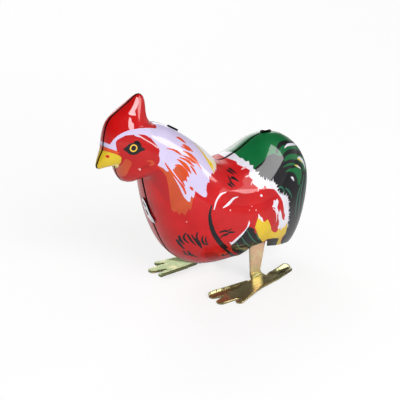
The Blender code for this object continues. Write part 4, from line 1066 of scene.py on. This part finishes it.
def add_body():
    """Both halves, cut from one triangulated side view that has an edge along every patch of ink."""
    inks = make_inks()
    bulge = Bulge()
    patches = list(printed_design())
    outline = body_outline(OUTLINE_STEP)
    hole = circle(WIND_AXIS, KEY_HOLE_RADIUS)
    wing = closed_curve(WING_OUTLINE, WING_STEP)
    grid = even_grid(outline, SHELL_STEP, RIM_RINGS[-1] + SHELL_STEP * GRID_SPARE)
    extra = np.concatenate([rim_rings(outline, OUTLINE_STEP), grid])
    loops = [hole, wing] + [patch for _, patch in patches]
    corners, triangles = triangulate(outline, loops=loops, lines=[LEG_OPENING], extra=extra)
    add_body_half("body_half_left", 1, bulge, patches, corners, triangles, inks, [LEG_OPENING])
    add_body_half("body_half_right", -1, bulge, patches, corners, triangles, inks, [LEG_OPENING, hole])


# ---------------------------------------------------------------- seam tabs


def add_tab(name, start, shape, looks, lift, slits=(), sheet=TAB_SHEET):
    """A tinplate tongue bent over the seam, from its outline as (across the seam, along from its start)."""
    seam = body_outline(TAB_PATH_STEP)
    nearest = int(np.argmin(np.linalg.norm(seam - np.array(start), axis=1)))
    path = np.roll(seam, TAB_RUN_IN - nearest, axis=0)
    reach = lengths_along(path)
    reach -= reach[TAB_RUN_IN]
    away = left_of(np.gradient(path, axis=0))
    outline = closed_curve(shape, TAB_STEP)
    holes = [closed_curve(slit, SLIT_STEP) for slit in slits]
    corners, triangles = triangulate(outline, loops=holes, extra=even_grid(outline, *TAB_GRID))
    corners, triangles = cut_out(corners, triangles, holes)

    def spot(across, along, height):
        side_view = [np.interp(along, reach, path[:, axis]) for axis in (0, 1)]
        out = [np.interp(along, reach, away[:, axis]) for axis in (0, 1)]
        rise = height - across**2 / TAB_FALL
        return (across, side_view[0] + out[0] * rise, side_view[1] + out[1] * rise)

    length = corners[:, 1].max()
    heights = lift[0] + (lift[1] - lift[0]) * corners[:, 1] / length
    front = np.array([spot(x, s, h + sheet) for (x, s), h in zip(corners, heights)])
    back = np.array([spot(x, s, h) for (x, s), h in zip(corners, heights)])
    points, faces, edges = thin_walled(front, back, triangles)
    slots = np.concatenate([np.zeros(len(triangles) * 2, int), np.ones(len(edges), int)])
    piece = add_piece(name, points, [face[::-1] for face in faces], looks, slots, "body")
    piece.data.set_sharp_from_angle(angle=math.radians(TAB_CREASE))


def add_seam_flange():
    """The narrow flange inside the seam that one half slides over, all round but for the leg opening."""
    path = body_outline(OUTLINE_STEP)
    inward = -left_of(steps_round(path))
    cut = inside(path, np.array(LEG_OPENING))
    first = int(np.argmax(cut & ~np.roll(cut, -1))) + 1
    path, inward, cut = (np.roll(values, -first, axis=0) for values in (path, inward, cut))
    path, inward = path[~cut], inward[~cut]
    near, far = (path + inward * depth for depth in FLANGE_DEPTHS)
    half = FLANGE_HALF_WIDTH
    sides = ((-half, near), (half, near), (half, far), (-half, far))
    points = np.concatenate([np.column_stack([np.full(len(place), x), place]) for x, place in sides])
    count = len(path)
    faces = [
        (k * count + i, k * count + i + 1, (k + 1) % 4 * count + i + 1, (k + 1) % 4 * count + i)
        for i in range(count - 1) for k in range(4)
    ]
    faces += [tuple(k * count for k in range(4)), tuple(k * count + count - 1 for k in reversed(range(4)))]
    # Near-black flange: painted shade in the gap between the halves
    add_piece("seam_flange", points, faces, [SHADED_BLACK], None, "body")


def add_tabs():
    """The tabs on the breast, the nape and the tail's top, and one at the rear."""
    leaf = ((-0.8, 0.0), (0.8, 0.0), (1.0, 1.6), (0.75, 3.8), (0.0, 4.5), (-0.75, 3.8), (-1.0, 1.6))
    short = ((-0.7, 1.0), (0.6, 0.8), (0.9, 2.0), (0.3, 3.4), (-0.6, 3.2))
    upper_slit = ((-1.9, 7.2), (-1.3, 7.1), (-0.3, 5.7), (-0.5, 5.3), (-1.2, 5.9))
    lower_slit = ((-0.8, 4.6), (-1.0, 3.5), (-0.2, 2.2), (0.1, 2.9), (-0.3, 4.0))
    # The breast tab's edges are near-black: painted shade beside the tab
    add_tab(
        "seam_tab_breast", (-23.9, 30.4),
        (
            (2.2, -0.4), (0.8, -0.1), (-0.6, 1.2), (-1.6, 3.2), (-2.1, 5.6), (-2.5, 7.8), (-1.3, 8.6),
            (-0.2, 7.6), (0.5, 5.6), (1.1, 3.2), (1.9, 1.2),
        ),
        [TAB_TIN, SHADED_BLACK], (0.45, 0.15), (upper_slit, lower_slit),
    )
    # Nape and tail tabs in near-black all over: painted shade round the tabs
    add_tab("seam_tab_nape", (-16.2, 62.8), leaf, [SHADED_BLACK, SHADED_BLACK], (0.0, 0.0), sheet=0.55)
    add_tab("seam_tab_tail", (26.2, 51.0), leaf, [SHADED_BLACK, SHADED_BLACK], (0.0, 0.0), sheet=0.5)
    add_tab("seam_tab_tail_tip", (26.2, 51.0), short, [TAB_TIN, SHADED_BLACK], (0.5, 0.7))
    add_tab("seam_tab_rear", (45.9, 30.0), leaf, [TAB_TIN, SHADED_BLACK], (0.0, 0.2))


# ---------------------------------------------------------------- legs


def arc(centre, radius, start, end, count):
    """Points on an arc, between two angles in degrees."""
    angles = np.radians(np.linspace(start, end, count))
    return [(centre[0] + radius * math.cos(a), centre[1] + radius * math.sin(a)) for a in angles]


def foot_outline(lead):
    """The left foot's flat shape as (x, y), from the ankle round the toes, a lead further on, to the heel."""
    inner_edge = [ANKLE_FRONT, (11.4, 4.0), (10.9, -4.5 - lead)]
    inner_toe = arc((12.7, -6.5 - lead), 1.8, 190, 330, 12)
    middle_toe = arc((17.9, -7.2 - lead), 1.8, 200, 350, 12)
    outer_toe = arc((21.7, -1.9 - lead), 1.5, 215, 380, 12)
    heel = arc((12.3, 28.7), 2.1, 10, 190, 14)
    inner_spur = [(11.6, 21.0), (12.2, 18.6)]
    toes = inner_toe + [(15.2, -3.4 - lead)] + middle_toe + [(19.9, -1.0 - lead)] + outer_toe
    return inner_edge + toes + heel + inner_spur


def arch_height(x, y):
    """The foot's rise over the ground: highest at the ankle, down on the ground at the toes and the heel."""
    spot = np.array([x, y])
    toes = float((spot - ANKLE_FRONT) @ TOES_DIRECTION)
    heel = float((spot - ANKLE_REAR) @ HEEL_DIRECTION)
    return FOOT_ARCH * (1 - min(max(toes, heel, 0.0) / FOOT_ARCH_RUN, 1.0))


def fold(u, y, depth):
    """A point of the flat leg after bending: the foot lies along x, and the strap stands up from it."""
    middle = LEG_BEND_RADIUS + LEG_SHEET / 2
    centre_z = LEG_SHEET / 2 + middle + FOOT_ARCH
    if u >= BEND_START:
        return (u, y, LEG_SHEET / 2 + depth + arch_height(u, y))
    if u > BEND_START - BEND_LENGTH:
        angle = (BEND_START - u) / middle
        reach = middle - depth
        return (BEND_START - reach * math.sin(angle), y, centre_z - reach * math.cos(angle))
    return (BEND_START - middle + depth, y, centre_z + BEND_START - BEND_LENGTH - u)


def leg_outline(lead):
    """The whole leg before bending, as (u, y), where u is x on the foot and falls on up the tapered strap."""
    bend_top = LEG_SHEET + LEG_BEND_RADIUS + FOOT_ARCH
    boss = (BEND_START - BEND_LENGTH - (LEG_AXIS[1] - bend_top), LEG_AXIS[0])
    strap_foot = BEND_START - BEND_LENGTH - 1.0
    strap = [
        (strap_foot, 16.9), *arc(boss, LEG_BOSS_RADIUS, 62, 270, 28), (boss[0] + 5.5, 11.6),
        (strap_foot, 12.2),
    ]
    return strap + foot_outline(lead), boss


def add_leg(name, side, lead, look):
    """One leg cut and bent from sheet, with its edges rounded off."""
    outline, boss = leg_outline(lead)
    outline = np.array(outline)
    hole = circle(boss, AXLE_HOLE)
    low, high = BEND_SPAN
    bends = [((u, low), (u, high)) for u in np.linspace(BEND_START - BEND_LENGTH, BEND_START, BEND_LINES)]
    ahead = np.roll(outline, -1, axis=0) - outline
    count = np.maximum(1, np.round(np.linalg.norm(ahead, axis=1) / LEG_STEP)).astype(int)
    dense = np.concatenate([a + np.outer(np.arange(n) / n, b) for a, b, n in zip(outline, ahead, count)])
    inward = left_of(steps_round(dense))
    if not inside(dense[:1] + 0.1 * inward[:1], outline)[0]:
        inward = -inward
    rings = []
    for share in LEG_RINGS:
        moved = dense + inward * LEG_EDGE * share
        rings.append(moved[distance_to(moved, outline) > LEG_EDGE * share * LEG_RING_SPARE])
    extra = np.concatenate([*rings, even_grid(outline, LEG_STEP, LEG_EDGE + LEG_GRID_GAP)])
    extra = extra[~inside(extra, circle(boss, AXLE_HOLE + HOLE_GAP))]
    corners, triangles = cut_out(*triangulate(dense, loops=[hole], lines=bends, extra=extra), [hole])
    rim = np.clip(distance_to(corners, outline) / LEG_EDGE, 0, 1)
    half = LEG_SHEET / 2 - LEG_EDGE * (1 - np.sqrt(1 - (1 - rim) ** 2))
    over = np.array([fold(u, y, depth) for (u, y), depth in zip(corners, half)]) * (side, 1, 1)
    under = np.array([fold(u, y, -depth) for (u, y), depth in zip(corners, half)]) * (side, 1, 1)
    points, faces, _ = thin_walled(over, under, triangles)
    if side < 0:
        faces = [face[::-1] for face in faces]
    add_piece(name, points, faces, [look], None, "legs", [name])


# ---------------------------------------------------------------- metals of the legs, tabs and clockwork


BARE_TIN = metal("bare_tin", srgb(214, 212, 206), srgb(196, 192, 184), 0.3, (1, 0.08, 1), 0.3, 0.003)
CUT_EDGE = metal("cut_edge", srgb(96, 92, 88), srgb(58, 54, 52), 0.4, (1, 1, 1), 0.2, 0.004)
STEEL = metal("turned_steel", srgb(176, 178, 182), srgb(146, 148, 154), 0.3, (12, 1, 1), 0.12, 0.003)
ZINC_STEEL = metal(
    "zinc_steel_sheet", srgb(188, 192, 198), srgb(160, 166, 176), 0.36, (1, 0.06, 1), 0.16, 0.004,
)
BLUED = metal("blued_spring_steel", srgb(66, 78, 118), srgb(38, 46, 82), 0.26, (0.05, 1, 1), 0.2, 0.002)
BRASS = metal("stamped_brass", srgb(214, 178, 96), srgb(186, 144, 70), 0.28, (1, 0.08, 1), 0.16, 0.003)
NICKEL = metal("nickel_plate", srgb(206, 202, 192), srgb(182, 176, 164), 0.2, (1, 1, 0.1), 0.2, 0.002)


STRAP_RISE = (1.6, 4.0)
# A slanted patch on the foot by the ankle, painted as a bright yellow reflection, with less metal in it
GLARE_SLANT = 0.8
GLARE_FRONT, GLARE_BACK, GLARE_OUTER = (21.6, 22.2), (26.2, 27.0), (16.5, 19.5)
# The foot's film turns darker towards the heel: painted shade
HEEL_FROM, HEEL_SHADE = (20.0, 26.0), 0.8
HEEL_SHADE_FILM, GLARE_FILM = srgb(128, 118, 98), srgb(255, 240, 150)
CLOUD_FILM, PALE_FILM = srgb(170, 184, 128), srgb(238, 220, 170)
CLOUD_SHARE, PALE_SHARE = 0.75, 0.8
ZINC_ROUGHNESS = (0.16, 0.3)
GLARE_METAL_DROP = 0.5


def chromated_zinc(name, strap_film, foot_film, strap_metallic, foot_metallic, ankle_glare):
    """Yellow zinc plating: pinkish and dull on the strap, olive on the foot with painted shade towards the
    heel, and a painted yellow reflection on the foot under the strap.
    """
    made = Nodes(name)

    def across(value, limits, to_low=0.0, to_high=1.0):
        return made.between(value, limits[0] * MM, limits[1] * MM, to_low, to_high)

    up_strap = across(made.coordinate("Z"), STRAP_RISE)
    slanted = made.combine(made.coordinate("X"), GLARE_SLANT, "MULTIPLY")
    aslant = made.combine(made.coordinate("Y"), slanted)
    # Painted reflection: the bright yellow patch on the foot under the strap
    glare_band = made.combine(across(aslant, GLARE_FRONT), across(aslant, GLARE_BACK, 1, 0), "MULTIPLY")
    glare_band = made.combine(glare_band, across(made.coordinate("X"), GLARE_OUTER, 1, 0), "MULTIPLY")
    glare_patch = made.combine(glare_band, made.between(up_strap, 0, 0.6, ankle_glare, 0.0), "MULTIPLY")
    # Painted shade: a darker film towards the heel
    heel = across(made.coordinate("Y"), HEEL_FROM, 0.0, HEEL_SHADE)
    film = made.mix(up_strap, made.mix(heel, foot_film, HEEL_SHADE_FILM), strap_film)
    film = made.mix(glare_patch, film, GLARE_FILM)
    clouds = made.between(made.noise(size=5.0, detail=3.0), 0.42, 0.75, 0.0, CLOUD_SHARE)
    clouded = made.mix(clouds, film, CLOUD_FILM)
    pale = made.between(made.noise(size=3.2), 0.52, 0.75, 0.0, PALE_SHARE)
    line = made.noise(size=0.22, stretch=(1, 1, 0.1))
    shine = made.between(up_strap, 0, 1, foot_metallic, strap_metallic)
    return made.finish(
        Base_Color=made.mix(pale, clouded, PALE_FILM),
        Metallic=made.combine(shine, made.between(glare_patch, 0, 1, 0, GLARE_METAL_DROP), "SUBTRACT"),
        Roughness=made.between(line, 0.2, 0.8, *ZINC_ROUGHNESS), Normal=made.bump(line, depth=0.003),
    )


YELLOW_ZINC = chromated_zinc("yellow_zinc", srgb(236, 192, 158), srgb(204, 186, 132), 0.42, 0.86, 1.0)
GREENISH_ZINC = chromated_zinc("yellow_zinc_green", srgb(226, 206, 160), srgb(150, 164, 112), 0.6, 0.6, 0.0)
# Near-black standing in for shade: the seam's gap, the tabs' edges, and the nape and tail tabs
SHADED_BLACK = metal("shaded_black", srgb(20, 18, 20), srgb(10, 10, 12), 0.6)
TAB_TIN = metal("tab_tin", srgb(240, 240, 242), srgb(214, 214, 220), 0.22, (1, 1, 0.2), 0.3, 0.003)

SLOT_LOOKS = {
    "steel": STEEL, "zinc_steel": ZINC_STEEL, "blued_steel": BLUED, "brass": BRASS, "nickel": NICKEL,
    "yellow_zinc": YELLOW_ZINC,
}


def finish_cad_nodes():
    """Gives the CAD pieces that stay visible a finish in place of their flat colour."""
    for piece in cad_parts.values():
        if piece.hide_render:
            continue
        slots = piece.data.materials
        look = SLOT_LOOKS[slots[0].name.split(".")[0]]
        slots.clear()
        slots.append(look)


# ---------------------------------------------------------------- stage, light and camera

FLOOR_GLOW, FLOOR_CAST = 0.72, 0.30
FLOOR_FADE = (0.25, 1.2)
# In gloss the floor shows painted light and shade: bright far out to the left, darker behind the bird
FLOOR_MIRRORED, FLOOR_MIRRORED_FAR, FLOOR_MIRRORED_BEHIND = 0.50, 0.98, 0.2
WORLD_LIGHT, WORLD_SEEN = 0.42, 0.97
WORLD_MIRRORED = (0.42, 0.03)
MIRRORED_HEIGHT = 0.3
FLOOR_SIZE, FLOOR_ROUGHNESS = 4.0, 0.8
FLOOR_SLANT, FAR_LIMITS, BEHIND_LIMITS = 0.5, (-0.06, -0.01), (0.07, 0.13)
FLOOR_LIT = ((0.80, 0.80, 0.80), (0.76, 0.76, 0.77))
LIGHT_AIM_HEIGHT = 0.04
# Each softbox: azimuth, elevation, distance, size, power, whether gloss mirrors it, whether it lights colours
SOFTBOXES = {
    "key_softbox": (80, 28, 1.0, (0.6, 0.6), 8.0, False, True),
    "fill_softbox": (-110, 35, 1.0, (0.6, 0.6), 3.0, False, True),
    "tail_softbox": (140, 34, 0.8, (0.30, 0.50), 2.7, True, False),
    "far_softbox": (-118, 16, 1.0, (0.9, 0.62), 3.2, True, False),
}
# The camera: azimuth, elevation, distance in metres and the point it looks at, then its lens
VIEW = (51.0, 22.0, 0.5, (0.0, -0.001, 0.0333))
SENSOR_WIDTH, FOCAL_LENGTH, LENS_SHIFT = 36.0, 126.9, (-0.0075, -0.01)


def add_floor():
    """A pale floor that the camera sees nearly evenly white, and that lights the body from below. What gloss
    mirrors of it holds painted light far to the left and painted shade behind the bird.
    """
    corners = [(x * FLOOR_SIZE, y * FLOOR_SIZE, 0) for x, y in ((-1, -1), (1, -1), (1, 1), (-1, 1))]
    mesh = bpy.data.meshes.new("floor")
    mesh.from_pydata([Vector(c) for c in corners], [], [(0, 1, 2, 3)])
    floor = bpy.data.objects.new("floor", mesh)
    bpy.context.scene.collection.objects.link(floor)
    made = Nodes("pale_floor")
    cloud = made.between(made.noise(size=60.0), 0.3, 0.7)
    rays = made.add("ShaderNodeLightPath").outputs
    lit = made.mix(cloud, *FLOOR_LIT)
    slanted = made.combine(made.coordinate("Y"), FLOOR_SLANT, "MULTIPLY")
    beyond = made.combine(made.coordinate("X"), slanted)
    # Painted light and shade in what gloss mirrors of the floor
    far = made.between(beyond, *FAR_LIMITS, 1.0, 0.0)
    behind = made.between(made.coordinate("Y"), *BEHIND_LIMITS)
    near = made.mix(behind, (FLOOR_MIRRORED,) * 3, (FLOOR_MIRRORED_BEHIND,) * 3)
    mirrored = made.mix(far, near, (FLOOR_MIRRORED_FAR,) * 3)
    made.finish(Base_Color=made.mix(rays["Is Glossy Ray"], lit, mirrored), Roughness=FLOOR_ROUGHNESS)
    made.feed(made.shader, "Specular IOR Level", 0.0)
    glow = made.add("ShaderNodeEmission")
    reach = made.add("ShaderNodeVectorMath", operation="LENGTH")
    made.feed(reach, 0, made.where)
    made.feed(glow, "Strength", made.between(reach.outputs["Value"], *FLOOR_FADE, FLOOR_GLOW, WORLD_SEEN))
    cast = made.add("ShaderNodeBsdfDiffuse")
    made.feed(cast, "Color", made.between(reach.outputs["Value"], *FLOOR_FADE, FLOOR_CAST, 0.0))
    seen = made.add("ShaderNodeAddShader")
    made.feed(seen, 0, glow.outputs[0])
    made.feed(seen, 1, cast.outputs[0])
    mixed = made.add("ShaderNodeMixShader")
    made.feed(mixed, 0, rays["Is Camera Ray"])
    made.feed(mixed, 1, made.shader.outputs[0])
    made.feed(mixed, 2, seen.outputs[0])
    made.feed(made.tree.nodes["Material Output"], "Surface", mixed.outputs[0])
    mesh.materials.append(made.owner)
    floor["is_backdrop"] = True


def direction(azimuth, elevation):
    """The way from the bird to a place around it, from degrees round from its beak to its left, and up."""
    a, e = math.radians(azimuth), math.radians(elevation)
    return Vector((math.sin(a) * math.cos(e), -math.cos(a) * math.cos(e), math.sin(e)))


def stand(thing, place, out):
    """Puts a light or the camera at its place, facing back along the way out."""
    thing.location = place
    thing.rotation_mode = "QUATERNION"
    thing.rotation_quaternion = (-out).to_track_quat("-Z", "Y")
    bpy.context.scene.collection.objects.link(thing)


def add_light(name, azimuth, elevation, distance, size, power, mirrored, lights_matt):
    """A softbox that faces the bird, seen in its lacquer or not, and lighting its colours or not."""
    out = direction(azimuth, elevation)
    light = bpy.data.lights.new(name, "AREA")
    light.shape = "RECTANGLE"
    light.size, light.size_y = size
    light.energy = power
    lamp = bpy.data.objects.new(name, light)
    lamp.visible_glossy = mirrored
    lamp.visible_diffuse = lights_matt
    stand(lamp, out * distance + Vector((0, 0, LIGHT_AIM_HEIGHT)), out)


def add_world():
    """A white studio that lights evenly, and that gloss and metals mirror as grey, darker overhead."""
    world = bpy.data.worlds.new("studio")
    made = Nodes("studio", world)
    rays = made.add("ShaderNodeLightPath").outputs
    gloss = made.between(made.coordinate("Z"), 0.0, MIRRORED_HEIGHT, *WORLD_MIRRORED)
    lit = made.between(rays["Is Glossy Ray"], 0, 1, WORLD_LIGHT, gloss)
    made.finish(Color=(1, 1, 1), Strength=made.between(rays["Is Camera Ray"], 0, 1, lit, WORLD_SEEN))
    bpy.context.scene.world = world


def add_camera(azimuth, elevation, distance, aim):
    """The scene's camera, looking at the aim from the given side and distance."""
    lens = bpy.data.cameras.new("camera")
    lens.sensor_width = SENSOR_WIDTH
    lens.lens = FOCAL_LENGTH
    lens.shift_x, lens.shift_y = LENS_SHIFT
    camera = bpy.data.objects.new("camera", lens)
    out = direction(azimuth, elevation)
    stand(camera, Vector(aim) + out * distance, out)
    bpy.context.scene.camera = camera


add_body()
add_leg("leg_left", 1, 0.0, YELLOW_ZINC)
add_leg("leg_right", -1, RIGHT_TOES_LEAD, GREENISH_ZINC)
add_seam_flange()
add_tabs()
finish_cad_nodes()
add_floor()
add_world()
for name, settings in SOFTBOXES.items():
    add_light(name, *settings)
add_camera(*VIEW)
bpy.context.scene.view_settings.view_transform = "Standard"

VISUAL_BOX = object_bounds()
[[list(corner) for corner in box] for box in (CAD_BOX, VISUAL_BOX)]
